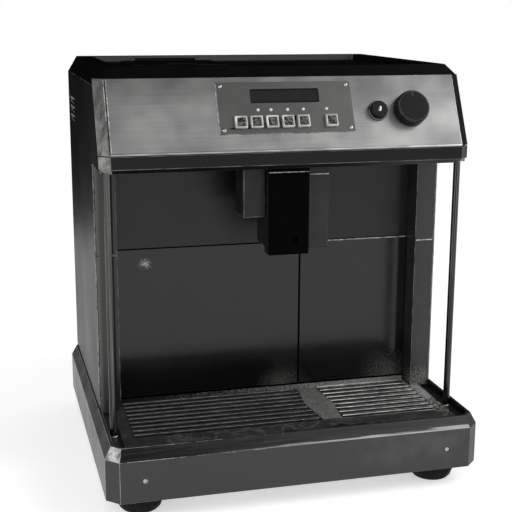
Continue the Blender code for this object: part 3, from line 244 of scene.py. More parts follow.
def splashed(material, centre, reach, size, stain, amount, crust=False, thick=0.22, soft=0.08):
    """Dried splashes on a finish: specks of a size in millimetres, thinning out over reach
    millimetres (x, y, z) from a centre in metres. A crust of hard water or coffee hides metal;
    thick ones lie closer together, and soft ones have no sharp edge."""
    tree, shader, under, place = under_coat(material)
    moved = node(tree, "ShaderNodeVectorMath", {0: place, 1: centre}, operation="SUBTRACT")
    scaled = node(tree, "ShaderNodeVectorMath", {0: moved.outputs[0], 1: [per_metre(d) for d in reach]},
                  operation="MULTIPLY")
    away = node(tree, "ShaderNodeVectorMath", {0: scaled.outputs[0]}, operation="LENGTH")
    near = node(tree, "ShaderNodeMapRange", {0: away.outputs[1], 3: thick, 4: 0.0})
    fleck = node(tree, "ShaderNodeTexNoise", {"Vector": place, "Scale": per_metre(size)})
    total = node(tree, "ShaderNodeMath", {0: fleck.outputs[0], 1: near.outputs[0]}, operation="ADD")
    peak = 0.7  # the flecks seldom pass this by themselves
    speck = node(tree, "ShaderNodeMapRange", {0: total.outputs[0], 1: peak - soft / 2, 2: peak + soft / 2,
                                              4: amount})
    within = node(tree, "ShaderNodeMapRange", {0: away.outputs[1], 1: 0.7, 2: 1.0, 3: 1.0, 4: 0.0})
    spot = node(tree, "ShaderNodeMath", {0: speck.outputs[0], 1: within.outputs[0]}, operation="MULTIPLY")
    coat(tree, shader, (spot.outputs[0], under, stain))
    if crust:
        metallic = shader.inputs["Metallic"]
        so_far = metallic.links[0].from_socket if metallic.is_linked else 1.0
        bare = node(tree, "ShaderNodeMath", {0: spot.outputs[0], 1: -1.0, 2: 1.0}, operation="MULTIPLY_ADD")
        shown = node(tree, "ShaderNodeMath", {0: bare.outputs[0], 1: so_far}, operation="MULTIPLY")
        tree.links.new(shown.outputs[0], metallic)


def painted_shading_band(material, plain_at, dull, amount, tint, axis=2):
    """Painted shading along one axis: the finish turns to another tone between two places along it, in
    metres, darker for painted shade and paler for a painted highlight."""
    tree, shader, under, place = under_coat(material)
    apart = node(tree, "ShaderNodeSeparateXYZ", {0: place})
    reach = node(tree, "ShaderNodeMapRange", {0: apart.outputs[axis], 1: plain_at, 2: dull, 4: amount},
                 interpolation_type="SMOOTHSTEP")
    coat(tree, shader, (reach.outputs[0], under, tint))


# ------------ stainless and plated metals

# Fascia sheet, brushed along its length: mid grey with faint level streaks and soft clouds,
# and painted darker towards its upper edge as painted shade.
fascia_steel = brushed_steel("brushed_stainless_fascia", "767676", "979796", 0.46, along=(90, 1.1, 1.1),
                             blotch=60, scratch=0.004, grained=0.3)
painted_shading_band(fascia_steel, 0.43, 0.4775, amount=0.5, tint="484847")
splashed(fascia_steel, (0.0, -0.13, 0.45), (330, 90, 90), size=30, stain="b8b8b5", amount=0.11, soft=0.4)
# Its left corner, brushed upright and blotchy and darker than the sheet beside it: its grey tone and upright
# blotches are painted reflections of the light on the fold, and it is painted darker towards its upper edge
# as painted shade.
corner_steel = brushed_steel("stainless_corner_fold_painted_reflections", "4a4a49", "a2a2a0", 0.38, along=(7, 7, 90), blotch=60,
                             grained=0.6)
painted_shading_band(corner_steel, 0.425, 0.46, amount=0.5, tint="333332")
# Its hem, painted as a pale line, and sheared edges, painted bright: both painted highlights where light
# catches the edges.
hem_steel = brushed_steel("fascia_hem_painted_highlight", "8a8a88", "b8b8b5", 0.32, along=(30, 2, 2), blotch=22)
fold_highlight_steel = brushed_steel("steel_fold_painted_highlight", "8f8f8c", "c4c4c1", 0.35, along=(25, 1, 1),
                          blotch=35)
# Control plate: a satin sheet with hardly any grain, so a flat grey.
plate_steel = brushed_steel("satin_stainless_plate", "545453", "5c5c5a", 0.45, blotch=40)
# Drip grille, brushed along its slots, whose rims catch the light as thin bright lines.
grille_steel = brushed_steel("slotted_stainless_grille", "6e6e6c", "8c8c8a", 0.46, along=(30, 0.9, 0.9),
                             blotch=12)
rim_steel = brushed_steel("punched_slot_rims", "7a7a78", "cacac7", 0.32, along=(18, 0.7, 0.7), blotch=9)
# The rims on the left, where cups stand: spills have taken the light off them.
dull_rim_steel = brushed_steel("punched_slot_rims_dulled_by_spills", "2c2c2b", "565653", 0.4,
                               along=(18, 0.7, 0.7), blotch=9)
# Dried coffee over the left field and along the front edge, and hard water on the right and rear.
for metal in (grille_steel, dull_rim_steel):
    splashed(metal, (-0.04, -0.13, 0.082), (170, 120, 40), size=22, stain="0d0c0c", amount=0.85, crust=True,
             thick=0.36, soft=0.12)
splashed(grille_steel, (0.11, -0.187, 0.082), (190, 14, 20), size=22, stain="060606", amount=1.0,
         crust=True, thick=0.34)
for centre, reach in (((0.189, -0.105, 0.082), (19, 100, 20)), ((0.11, -0.048, 0.082), (130, 13, 20))):
    splashed(grille_steel, centre, reach, size=1.8, stain="b0b0aa", amount=0.9, crust=True, thick=0.3)
# Posts of drawn rod, painted dark with long upright streaks as painted reflections, in ferrules turned
# bright.
post_steel = brushed_steel("drawn_stainless_rod_painted_reflections", "1e1e1d", "62625f", 0.24, along=(1.6, 1.6, 300), blotch=50,
                           grained=0.9)
ferrule_steel = brushed_steel("turned_stainless_ferrule", "7c7c7a", "9a9a97", 0.3, along=(3, 3, 3), blotch=9)
# Zinc plating: bluish grey in cloudy spangles, a centimetre across on sheet and finer on screws.
zinc_plate = brushed_steel("zinc_plated_sheet", "8a8d8e", "a9acac", 0.42, along=(9, 9, 9), blotch=14)
zinc_screw = brushed_steel("zinc_plated_screw", "9c9d9c", "c9c9c7", 0.3, along=(1.5, 1.5, 1.5), blotch=4)
# Chrome on the lock's collar, dark or bright with what it mirrors, and a warm satin copper boiler.
chrome = brushed_steel("polished_chrome", "565655", "7c7c7a", 0.16, along=(8, 8, 8), blotch=9, scratch=0.002)
copper = brushed_steel("satin_copper_boiler", "b0704a", "cf8f66", 0.35, along=(14, 14, 14), blotch=22)


# ------------ lacquered steel

# Base: dark grey enamel with an even sheen and a paler bloom of dried cleaner on its right.
base_enamel = lacquered_steel("dark_grey_base_enamel", "222221", "2e2e2d", 0.36, cast=(160, 60, 40))
splashed(base_enamel, (0.15, -0.2045, 0.06), (110, 40, 36), size=26, stain="4a4a49", amount=0.6, thick=0.34,
         soft=0.4)
# Its lip and corners: the left lip and the right corner painted nearly black as painted shade, and the left
# lip corner and the folds painted pale as painted highlights.
left_lip = lacquered_steel("base_lip_enamel_painted_shade", "111111", "1c1c1b", 0.45, gloss=0.15)
dark_corner = lacquered_steel("base_corner_enamel_painted_shade", "070707", "101010", 0.34, gloss=0.2)
base_fold = highlight_and_speck_patches("base_folds_painted_highlight", "2e2e2d", "c0c0bd", slope=-1.2, level=0.68,
                        patch=8)
lip_fold = highlight_and_speck_patches("base_lip_fold_painted_highlight", "3a3a39", "dadad7", slope=1.1)
base_corner = highlight_and_speck_patches("base_lip_corner_painted_glint", "6a6a68", "dcdcd9", patch=9)
# Sides: satin black, deep and even, with folds and the front edge painted grey as painted highlights.
side_enamel = lacquered_steel("satin_black_side_enamel", "0c0c0c", "111111", 0.42, gloss=0.2,
                              cast=(140, 140, 300), peel=0.004, smear=150)
side_front_edge = highlight_and_speck_patches("side_front_edge_painted_highlight", "3c3c3b", "b0b0ad", patch=6)
side_fold = highlight_and_speck_patches("side_folds_painted_highlight", "4c4c4a", "b4b4b1", patch=60)
# Cup station: glossy lacquer on the drawers, which mirrors the white room above and the dark
# grille below, with specks of dried milk, and a duller coat on the panel over them.
station_lacquer = lacquered_steel("dark_station_lacquer", "050505", "0a0a0a", 0.17, peel=0.006, gloss=0.42)
splashed(station_lacquer, (-0.149, -0.043, 0.2535), (11, 9, 9), size=0.9, stain="b8b8b2", amount=1.0,
         thick=0.26)
for x, reach, stain in ((0.165, (50, 60, 44), "6e6e6a"), (0.02, (38, 60, 28), "62625e")):
    splashed(station_lacquer, (x, -0.043, 0.09), reach, size=1.3, stain=stain, amount=0.7, thick=0.25,
             soft=0.16)
upper_lacquer = lacquered_steel("dark_upper_panel_lacquer", "050505", "0b0b0b", 0.33, peel=0.006, gloss=0.36)
# Columns: charcoal, splashed by hard water at the right foot; the left one has upright streaks painted as
# painted reflections, and folds are painted paler as painted highlights.
column_lacquer = lacquered_steel("dark_column_lacquer", "171717", "2c2c2b", 0.28, gloss=0.42,
                                 cast=(30, 30, 90))
splashed(column_lacquer, (0.197, -0.07, 0.088), (30, 30, 24), size=1.3, stain="8a8a84", amount=0.8,
         thick=0.26, soft=0.16)
left_column_lacquer = lacquered_steel("left_column_lacquer_painted_reflections", "1c1c1b", "3c3c3a", 0.3, cast=(3, 3, 160))
# A paler outer edge painted as a highlight, and a near-black inner edge painted as shade in the recess.
painted_shading_band(left_column_lacquer, -0.2035, -0.2085, amount=0.6, tint="6a6a68", axis=0)
painted_shading_band(left_column_lacquer, -0.1945, -0.1925, amount=1.0, tint="060606", axis=0)
column_fold = highlight_and_speck_patches("column_lacquer_rubbed_on_the_folds", "222221", "8f8f8c", patch=14)
# Head band and top: black that hardly shines; their folds and the band's left corner are painted paler as
# painted highlights, so that they draw a line.
black_enamel = lacquered_steel("satin_black_band_enamel", "080808", "0d0d0d", 0.32, gloss=0.2)
band_corner = highlight_and_speck_patches("band_corner_painted_highlight", "5c5c5a", "9a9a97", patch=12)
band_fold = highlight_and_speck_patches("band_fold_painted_highlight", "1c1c1c", "6a6a68", patch=30)
top_lacquer = lacquered_steel("matt_black_top_lacquer", "040404", "0a0a0a", 0.5, gloss=0.06)
top_fold = highlight_and_speck_patches("top_edges_painted_highlight", "121212", "4a4a48", patch=40, gloss=0.15)
# The rear wall of the cup shelf, painted grey as a painted sheen, which shows as a grey line along the top.
top_wall = lacquered_steel("black_top_wall_painted_sheen", "3a3a39", "4c4c4a", 0.3)
# Edges that catch light or are scaled by hard water, seen as lines, specks and short strokes.
seam_glint = highlight_and_speck_patches("seam_edges_catching_light", "6a6a68", "d0d0cd", patch=7)
louvre_lip = highlight_and_speck_patches("louvre_lips_catching_light", "5a5a58", "b4b4b1", patch=12)
strip_scale = highlight_and_speck_patches("grille_strip_speckled_by_hard_water", "333332", "8c8c89", patch=2.2,
                          roughness=0.5, spread=0.2)
upstand_scale = highlight_and_speck_patches("grille_upstand_speckled_on_the_right", "0c0c0c", "8c8c89", patch=2.6, slope=1.3,
                            level=0.56, roughness=0.5, spread=0.18, gloss=0.2)


# ------------ plastics and rubber

black_plastic = moulded_plastic("black_moulded_plastic", "0f0f0f", "191919", 0.5)
# Spout: the deepest black on the machine, with its left cheek painted charcoal as its lit side.
spout_plastic = moulded_plastic("black_spout_plastic", "020202", "040404", 0.5, gloss=0.02)
spout_cheek = moulded_plastic("spout_left_side_painted_lit", "141414", "1f1f1e", 0.45, gloss=0.2)
# Outlet housings: charcoal, a shade apart, painted black under the head as painted shade, and with edges
# painted paler as painted highlights.
milk_plastic = moulded_plastic("charcoal_milk_housing_plastic", "1c1c1b", "262624", 0.42, gloss=0.3)
painted_shading_band(milk_plastic, 0.3688, 0.3694, amount=1.0, tint="060606")
grey_plastic = moulded_plastic("charcoal_housing_plastic", "0e0e0e", "171716", 0.42, gloss=0.3)
painted_shading_band(grey_plastic, 0.362, 0.37, amount=0.7, tint="060606")
grey_edge = highlight_and_speck_patches("charcoal_housing_edges_painted_highlight", "2c2c2b", "7a7a77", patch=18)
# Lock face and knob: fine-grained satin black; the knob's rim is painted grey as a painted highlight.
lock_plastic = moulded_plastic("black_lock_face", "0c0c0c", "151514", 0.4, gloss=0.15)
knob_plastic = moulded_plastic("satin_black_knob", "060606", "0b0b0c", 0.36, depth=0.015, gloss=0.13)
knob_edge = highlight_and_speck_patches("satin_black_knob_rim_painted_highlight", "141414", "5e5e5c", patch=14)
# Keys: silver lacquered frames round smoked lenses, mottled by what lies behind them.
key_lacquer = moulded_plastic("silver_lacquered_key", "a8a8a6", "f0f0ed", 0.34, grain=2.5, metallic=0.2,
                              depth=0.02)
key_lens = highlight_and_speck_patches("smoked_key_lens", "0c0c0c", "6e6e6b", patch=2.6, roughness=0.4, spread=0.07,
                       gloss=0.2)
# Lights, window, gasket, circuit board and feet.
milky_plastic = moulded_plastic("milky_light_guide", "d6d6d2", "e8e8e4", 0.35, depth=0.01)
smoked_plastic = moulded_plastic("smoked_clear_plastic", "0a0a0a", "0f0f0f", 0.14, depth=0.004, gloss=0.25)
gasket = moulded_plastic("black_window_gasket", "0a0a0a", "141413", 0.5, gloss=0.15)
board_plastic = moulded_plastic("green_solder_mask", "1d5b36", "2a6d42", 0.4, depth=0.01)
rubber = moulded_plastic("moulded_rubber", "0c0c0c", "141413", 0.75, grain=1.2, depth=0.05, gloss=0.2)


# ------------ piece helpers

SHARP = math.radians(40)  # an edge of a small piece that turns by more isn't smoothed


def keep(name, mesh, body, finishes, stands_for=()):
    """Make a finished piece of a mesh, attach it to the body it rides on, and hide the CAD nodes it stands
    for.
    """
    for finish in finishes:
        mesh.materials.append(finish)
    made = bpy.data.objects.new(name, mesh)
    SCENE.collection.objects.link(made)
    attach(made, body)
    if stands_for:
        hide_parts(*stands_for)
    return made


def softened(name, width, *finishes, segments=2, angle=30, patches=(), moved=None):
    """A merged copy of a CAD node with its edges rounded; a second finish goes on those edges, and
    patches are (test of a face's centre and normal, finish) for single faces. moved gives a point
    of the copy its new place."""
    source = NODES[name]
    shape = bmesh.new()
    shape.from_mesh(source.data)
    bmesh.ops.remove_doubles(shape, verts=shape.verts, dist=0.002 * MM)
    for vertex in shape.verts if moved else ():
        vertex.co = moved(vertex.co)
    bmesh.ops.dissolve_limit(shape, angle_limit=math.radians(0.5), verts=shape.verts, edges=shape.edges)
    for number, (chosen, _) in enumerate(patches):
        for face in shape.faces:
            if chosen(face.calc_center_median(), face.normal):
                face.material_index = len(finishes) + number
    mesh = bpy.data.meshes.new(name + "_finished")
    shape.to_mesh(mesh)
    shape.free()
    mesh.shade_smooth()
    mesh.set_sharp_from_angle(angle=math.radians(angle))
    made = keep(name + "_finished", mesh, body_of(source)[0],
                [*finishes, *[finish for _, finish in patches]], [name])
    rounding = made.modifiers.new("rounding", "BEVEL")
    rounding.width = width * MM
    rounding.segments = segments
    rounding.limit_method = "ANGLE"
    rounding.angle_limit = math.radians(angle)
    rounding.harden_normals = True
    rounding.material = 1 if len(finishes) > 1 else -1


def rounded(half_x, half_y, corner, middle=(0, 0)):
    """The outline of a rounded rectangle in millimetres, anticlockwise."""
    points, steps = [], 4
    for quarter, (side_x, side_y) in enumerate([(1, 1), (-1, 1), (-1, -1), (1, -1)]):
        for step in range(steps + 1):
            angle = math.pi / 2 * (quarter + step / steps)
            points.append((middle[0] + side_x * (half_x - corner) + corner * math.cos(angle),
                           middle[1] + side_y * (half_y - corner) + corner * math.sin(angle)))
    return points


def circle(radius, count):
    """The outline of a circle, anticlockwise."""
    return [(radius * math.cos(math.tau * i / count), radius * math.sin(math.tau * i / count))
            for i in range(count)]


def barrel(half_x, half_y, bulge):
    """The outline of a strip whose long edges bulge, anticlockwise."""
    steps = 14
    right = [(half_x + bulge * math.sin(math.pi * i / steps) ** 2, half_y * (2 * i / steps - 1))
             for i in range(steps + 1)]
    return right + [(-x, -y) for x, y in right]


def cross(arm, half):
    """The outline of a cross recess in 24 points, to match a circle of 24."""
    quarter = [(arm, 0), (arm, half), ((arm + half) / 2, half), (half, half), (half, (arm + half) / 2),
               (half, arm)]
    points = []
    for _ in range(4):
        points += quarter
        quarter = [(-y, x) for x, y in quarter]
    return points


def turned(profile, count=32):
    """The rings of a turned shape, from its profile of (radius, height)."""
    return [(circle(radius, count), height, 0) for radius, height in profile]


def framed(half_x, half_y, profile, middle=(0, 0)):
    """The rings of a rounded rectangle, from its profile of (growth all round, corner radius,
    height, finish number)."""
    return [(rounded(half_x + growth, half_y + growth, corner, middle), height, kind)
            for growth, corner, height, kind in profile]


def screw_rings(radius, height, shank):
    """The rings of a pan head with a cross recess, on the top of its shank."""
    head = turned([(radius * 0.5, -shank), (radius * 0.5, 0), (radius, 0), (radius, height * 0.4),
                   (radius * 0.85, height * 0.82), (radius * 0.6, height)], 24)
    return head + [(cross(radius * 0.4, radius * 0.1), height, 0),
                   (cross(radius * 0.34, radius * 0.08), height * 0.6, 1)]


def shell(rings, place=Matrix(), hollow=False):
    """The closed mesh through rings of (outline, height in millimetres, finish number). A hollow
    one joins its last ring to its first; any other is capped."""
    count = len(rings[0][0])
    points = [place @ (Vector((x, y, height)) * MM) for outline, height, _ in rings for x, y in outline]
    faces, kinds = [], []
    for level in range(len(rings) if hollow else len(rings) - 1):
        above = (level + 1) % len(rings)
        for i in range(count):
            j = (i + 1) % count
            faces.append((level * count + i, level * count + j, above * count + j, above * count + i))
            kinds.append(rings[above][2])
    if not hollow:
        faces += [tuple(reversed(range(count))), tuple(range(len(points) - count, len(points)))]
        kinds += [rings[0][2], rings[-1][2]]
    mesh = bpy.data.meshes.new("shell")
    mesh.from_pydata(points, [], faces)
    mesh.polygons.foreach_set("material_index", kinds)
    mesh.shade_smooth()
    mesh.set_sharp_from_angle(angle=SHARP)
    return mesh


def bead(start, end, width, proud, lift, place=Matrix()):
    """A low half-round bead along a line between two points of a place's own axes, standing proud
    along lift, all in millimetres."""
    start, end = [place @ (Vector(point) * MM) for point in (start, end)]
    along = (end - start).normalized()
    across = lift.cross(along).normalized()
    outline = [(-width / 2, -proud * 0.6), (width / 2, -proud * 0.6), (width * 0.42, proud * 0.55),
               (width * 0.2, proud), (-width * 0.2, proud), (-width * 0.42, proud * 0.55)]
    up = along.cross(across)
    side = -1 if up.dot(lift) < 0 else 1
    ring = [(x * across + y * up * side) * MM for x, y in outline]
    shape = bmesh.new()
    near, far = [[shape.verts.new(end_point + offset) for offset in ring] for end_point in (start, end)]
    for i in range(len(ring)):
        shape.faces.new((near[i], near[i - 1], far[i - 1], far[i]))
    shape.faces.new(near)
    shape.faces.new(far)
    bmesh.ops.recalc_face_normals(shape, faces=shape.faces)
    mesh = bpy.data.meshes.new("bead")
    shape.to_mesh(mesh)
    shape.free()
    return mesh


def merged(*meshes):
    """One mesh of several."""
    shape = bmesh.new()
    for mesh in meshes:
        shape.from_mesh(mesh)
    joined = bpy.data.meshes.new("merged")
    shape.to_mesh(joined)
    shape.free()
    joined.shade_smooth()
    joined.set_sharp_from_angle(angle=SHARP)
    return joined


def repeating_tree():
    """Geometry nodes that set out copies of one shape: in a row when Pitch is given, round the
    Z axis when Turn is given."""
    tree = bpy.data.node_groups.new("repeating_shapes", "GeometryNodeTree")
    for name, kind in [("Shape", "Object"), ("Count", "Int"), ("Pitch", "Vector"), ("Turn", "Float"),
                       ("Finish", "Material")]:
        tree.interface.new_socket(name, in_out="INPUT", socket_type="NodeSocket" + kind)
    tree.interface.new_socket("Geometry", in_out="OUTPUT", socket_type="NodeSocketGeometry")
    given = node(tree, "NodeGroupInput").outputs
    line = node(tree, "GeometryNodeMeshLine", {"Count": given["Count"], "Offset": given["Pitch"]})
    shape = node(tree, "GeometryNodeObjectInfo", {"Object": given["Shape"]})
    angle = node(tree, "ShaderNodeMath", {0: node(tree, "GeometryNodeInputIndex").outputs[0],
                                          1: given["Turn"]}, operation="MULTIPLY")
    spin = node(tree, "ShaderNodeCombineXYZ", {2: angle.outputs[0]})
    copies = node(tree, "GeometryNodeInstanceOnPoints", {
        "Points": line.outputs[0], "Instance": shape.outputs["Geometry"], "Rotation": spin.outputs[0]})
    real = node(tree, "GeometryNodeRealizeInstances", {0: copies.outputs[0]})
    coated = node(tree, "GeometryNodeSetMaterial", {0: real.outputs[0], "Material": given["Finish"]})
    node(tree, "NodeGroupOutput", {0: coated.outputs[0]})
    return tree


REPEATING = repeating_tree()


def repeated(shape_mesh, count, finish, pitch=(0, 0, 0), turn=0.0, place=Matrix()):
    """The plain mesh of a shape set out count times by the repeating tree, each a pitch in
    millimetres or a turn in radians past the last, then put in its place."""
    shape = bpy.data.objects.new("repeated_shape", shape_mesh)
    carrier = bpy.data.objects.new("repeating_carrier", bpy.data.meshes.new("carrier"))
    SCENE.collection.objects.link(carrier)
    setter = carrier.modifiers.new("repeating", "NODES")
    setter.node_group = REPEATING
    given = {"Shape": shape, "Count": count, "Pitch": [step * MM for step in pitch], "Turn": turn,
             "Finish": finish}
    for socket in REPEATING.interface.items_tree:
        if socket.in_out == "INPUT":
            setter[socket.identifier] = given[socket.name]
    made = carrier.evaluated_get(bpy.context.evaluated_depsgraph_get())
    mesh = bpy.data.meshes.new_from_object(made)
    carrier.modifiers.remove(setter)
    bpy.data.objects.remove(carrier)
    bpy.data.objects.remove(shape)
    mesh.transform(place)
    return mesh


# Places: the machine's own axes, the leaning fascia's, and those whose Z points out of the front
# and out of the rear.
ORIGIN = Matrix()
OUT = -Vector(JOINTS["button_1_press"]["axis"]).normalized()  # out of the leaning fascia
ON_FASCIA = Matrix(((1, 0, 0, 0), (0, OUT.z, OUT.y, 0), (0, -OUT.y, OUT.z, 0), (0, 0, 0, 1)))
TO_FRONT = Matrix.Rotation(math.pi / 2, 4, "X")
TO_REAR = Matrix.Rotation(-math.pi / 2, 4, "X")
FORWARD = Vector((0, -1, 0))


def span(name, place=ORIGIN):
    """A node's lowest and highest corners, in millimetres along a place's own axes."""
    points = [place.inverted() @ vertex.co / MM for vertex in NODES[name].data.vertices]
    return [Vector([pick(point[axis] for point in points) for axis in range(3)]) for pick in (min, max)]


def at(x, y, z, place=ORIGIN):
    """A place moved along its own axes, in millimetres."""
    return place @ Matrix.Translation(Vector((x, y, z)) * MM)


def over(name, height, place=ORIGIN):
    """A place moved over the middle of a node, at a height along its own Z in millimetres."""
    middle = sum(span(name, place), Vector((0, 0, 0))) / 2
    return at(middle.x, middle.y, height, place)


def cross_screw(name, place, radius, height, shank):
    """A CAD screw made again with a cross recess."""
    keep(name + "_cross", shell(screw_rings(radius, height, shank), place), "machine",
         [zinc_screw, zinc_plate], [name])


# ------------ faces with a finish of their own

# Each test takes a face's centre in metres and its normal. A folded face leans by more than LEAN.
LEAN = 0.3


def at_front_left(centre, normal):
    return normal.x < -LEAN and normal.y < -LEAN


def at_front_right(centre, normal):
    return normal.x > LEAN and normal.y < -LEAN


def at_lip_corner(centre, normal):
    return at_front_left(centre, normal) and normal.z > LEAN


def at_front_lip(centre, normal):
    return normal.z > LEAN and normal.y < -LEAN and abs(normal.x) < 0.1


def at_left_lip(centre, normal):
    return normal.z > LEAN and normal.x < -LEAN and abs(normal.y) < 0.1 and centre.x < -0.15


def at_right_lip_inside(centre, normal):
    return normal.x < -LEAN and centre.x > 0.15 and centre.z > 0.07


def at_front_edge(centre, normal):
    return normal.y < -0.9


def at_recess_rear(centre, normal):
    return normal.y < -0.6 and centre.y > 0.1


def at_left_cheek(centre, normal):
    return normal.x < -0.9 and centre.x < -0.02


def on_right_fold(centre, normal):
    return normal.x > LEAN and abs(centre.x) > 0.2


def on_left_fold(centre, normal):
    return normal.x < -LEAN and abs(centre.x) > 0.2


# ------------ the body

base_low = span("base_shell")[0]
fold_height = max(point.co.z / MM for point in NODES["base_shell"].data.vertices
                  if point.co.y / MM < base_low.y + 0.1)
lip_slope = lip_with_painted_light("base_lip_painted_light_and_highlight", fold_height * MM)
softened("base_shell", 0.7, base_enamel, base_fold, segments=3, angle=20,
         patches=[(at_lip_corner, base_corner), (at_front_lip, lip_slope), (at_front_right, dark_corner),
                  (at_right_lip_inside, dark_corner), (at_left_lip, left_lip)])
# A pale bead along the lip's fold, painted as a highlight.
highlight_from, highlight_to = [(x, base_low.y + 1.1, fold_height + 0.5) for x in (-60, 204)]
keep("lip_fold_wear", bead(highlight_from, highlight_to, 2.2, 0.45, Vector((0, -0.5, 0.87))), "machine",
     [lip_fold])
for side in ("left", "right"):
    softened("side_panel_" + side, 0.4, side_enamel, side_fold, patches=[(at_front_edge, side_front_edge)])
for side, lacquer in (("left", left_column_lacquer), ("right", column_lacquer)):
    for level in ("lower", "upper"):
        softened("column_%s_%s" % (side, level), 0.5, lacquer, column_fold)
softened("grounds_drawer", 0.35, station_lacquer)
softened("water_tank_drawer", 0.35, station_lacquer)
softened("upper_panel", 0.35, upper_lacquer)
softened("head_band", 0.5, black_enamel, band_fold, segments=3, angle=20,
         patches=[(at_front_left, band_corner)])
softened("head_floor", 0.3, black_enamel)
softened("top_cover", 0.8, top_lacquer, top_fold, segments=3, patches=[(at_recess_rear, top_wall)])
softened("hopper_lid", 0.6, top_lacquer, top_fold)
softened("drip_pan", 0.5, black_plastic)


def squarer_foot(point):
    """The spout's 6 mm bottom corners drawn out to 2 mm."""
    half, bottom, drawn, kept = 0.024, 0.279, 0.006, 0.002  # of the spout block, in metres
    past = Vector((abs(point.x) - (half - drawn), bottom + drawn - point.z))
    if min(past) < -0.001 * MM or past.length < drawn * 0.9:
        return point
    angle = math.atan2(max(past.y, 0), max(past.x, 0))
    side = math.copysign(half - kept + kept * math.cos(angle), point.x)
    return Vector((side, point.y, bottom + kept - kept * math.sin(angle)))


softened("spout_block", 0.5, spout_plastic, segments=3, patches=[(at_left_cheek, spout_cheek)],
         moved=squarer_foot)
softened("spout_guide", 0.5, spout_plastic, patches=[(at_left_cheek, spout_cheek)])
softened("water_outlet_housing", 0.8, grey_plastic, grey_edge, segments=3)
softened("milk_outlet_housing", 0.8, milk_plastic, segments=3)
softened("post_left", 0.3, post_steel)
softened("post_right", 0.3, post_steel)

# Fronts that beads lie on, and the heights of the seams across them, in millimetres.
drawer_front, drawer_seam = span("water_tank_drawer")[0].y, span("water_tank_drawer")[1].z - 0.6
column_front, column_seam = span("column_right_lower")[0].y - 0.1, span("column_right_lower")[1].z - 0.7
housing_front, housing_seam = span("milk_outlet_housing")[0].y - 0.1, 368.6
spout_front, spout_seam = span("spout_block")[0].y - 0.05, 373.6
between_drawers, left_recess_shadow = 44.25, -191.3
for name, body, finish, width, lines in [
    ("seam_glint_water_tank_drawer", "water_tank_drawer", seam_glint, 1.4,
     [(drawer_front, (54, drawer_seam), (184.4, drawer_seam))]),
    ("seam_glint_machine", "machine", seam_glint, 1.4,
     [(column_front, (186.5, column_seam), (208, column_seam)),
      (housing_front, (25.5, housing_seam), (50.6, housing_seam))]),
    ("spout_block_glint", "spout_block", seam_glint, 1.2,
     [(spout_front, (-23, spout_seam), (23.4, spout_seam))]),
    ("drawer_seam_shade", "water_tank_drawer", spout_plastic, 1.9,
     [(drawer_front, (between_drawers, 89), (between_drawers, 270))]),
    # A black strip painted as the shadow in the recess beside the left column.
    ("column_seal_left", "machine", gasket, 3.4,
     [(column_front, (left_recess_shadow, 83), (left_recess_shadow, 271)), (column_front, (left_recess_shadow, 274), (left_recess_shadow, 378))]),
]:
    beads = [bead((x, front, z), (end_x, front, end_z), width, 0.15, FORWARD)
             for front, (x, z), (end_x, end_z) in lines]
    keep(name, merged(*beads), body, [finish])

FERRULE = [(4.05, 0.1), (5.8, 0.1), (5.8, 1.6), (5.0, 2.6), (4.05, 2.8)]
for side in ("left", "right"):
    post_foot = over("post_" + side, span("post_" + side)[0].z)
    keep("post_ferrule_" + side, shell(turned(FERRULE), post_foot, hollow=True), "machine",
         [ferrule_steel])


# ------------ drip grille

softened("drip_grille", 0.3, grille_steel, rim_steel)
grille_rear, grille_top = span("drip_grille")[1].yz
slot_count, slot_width, slot_pitch, first_slot = 9, 6.4, 12.6, -155.1
for side, slot_left, slot_right, finish in (("left", -181.2, 38.0, dull_rim_steel),
                                            ("right", 67.0, 181.2, rim_steel)):
    middle, half = (slot_left + slot_right) / 2, (slot_right - slot_left) / 2
    rim = shell(framed(half, slot_width / 2, [
        (0.1, 0.4, grille_top - 0.3, 0), (1.5, 1.2, grille_top - 0.3, 0), (1.5, 1.2, grille_top - 0.05, 0),
        (1.1, 1.0, grille_top + 0.35, 0), (0.5, 0.7, grille_top + 0.4, 0)]), hollow=True)
    rims = repeated(rim, slot_count, finish, pitch=(0, slot_pitch, 0), place=at(middle, first_slot, 0))
    keep("raised_slot_rims_" + side, merged(rims), "drip_grille", [finish])

middle_slot = first_slot + (slot_count - 1) / 2 * slot_pitch
strip_edge = barrel(11.8, 53.0, 5.2)
strip = shell([(strip_edge, -0.1, 0), (strip_edge, 0.3, 0), (barrel(10.6, 52.0, 5.0), 0.55, 0)],
              at(51.5, middle_slot, grille_top))
keep("unpunched_strip", strip, "drip_grille", [strip_scale])
upstand = shell(framed(184, 0.9, [(0, 0.4, -0.1, 0), (0, 0.4, 3.9, 0), (-0.4, 0.3, 4.2, 0)]),
                at(0, grille_rear - 1.2, grille_top))
keep("grille_rear_upstand", upstand, "drip_grille", [upstand_scale])


# ------------ control fascia

softened("fascia", 0.6, fascia_steel, fold_highlight_steel, segments=3, angle=15,
         patches=[(on_right_fold, black_enamel), (on_left_fold, corner_steel)])
fascia_low, fascia_high = span("fascia", ON_FASCIA)
steel = fascia_high.z
in_seam = steel - 0.1
flat_length = 87.2  # of the sheet between its upper and lower folds
foot_line, head_line = fascia_low.y, fascia_low.y + flat_length


def fascia_bead(name, finish, start, end, height, width, proud):
    """A bead along a line on the fascia, from points of its own x and y."""
    keep(name, bead((*start, height), (*end, height), width, proud, OUT, ON_FASCIA), "machine",
         [finish])


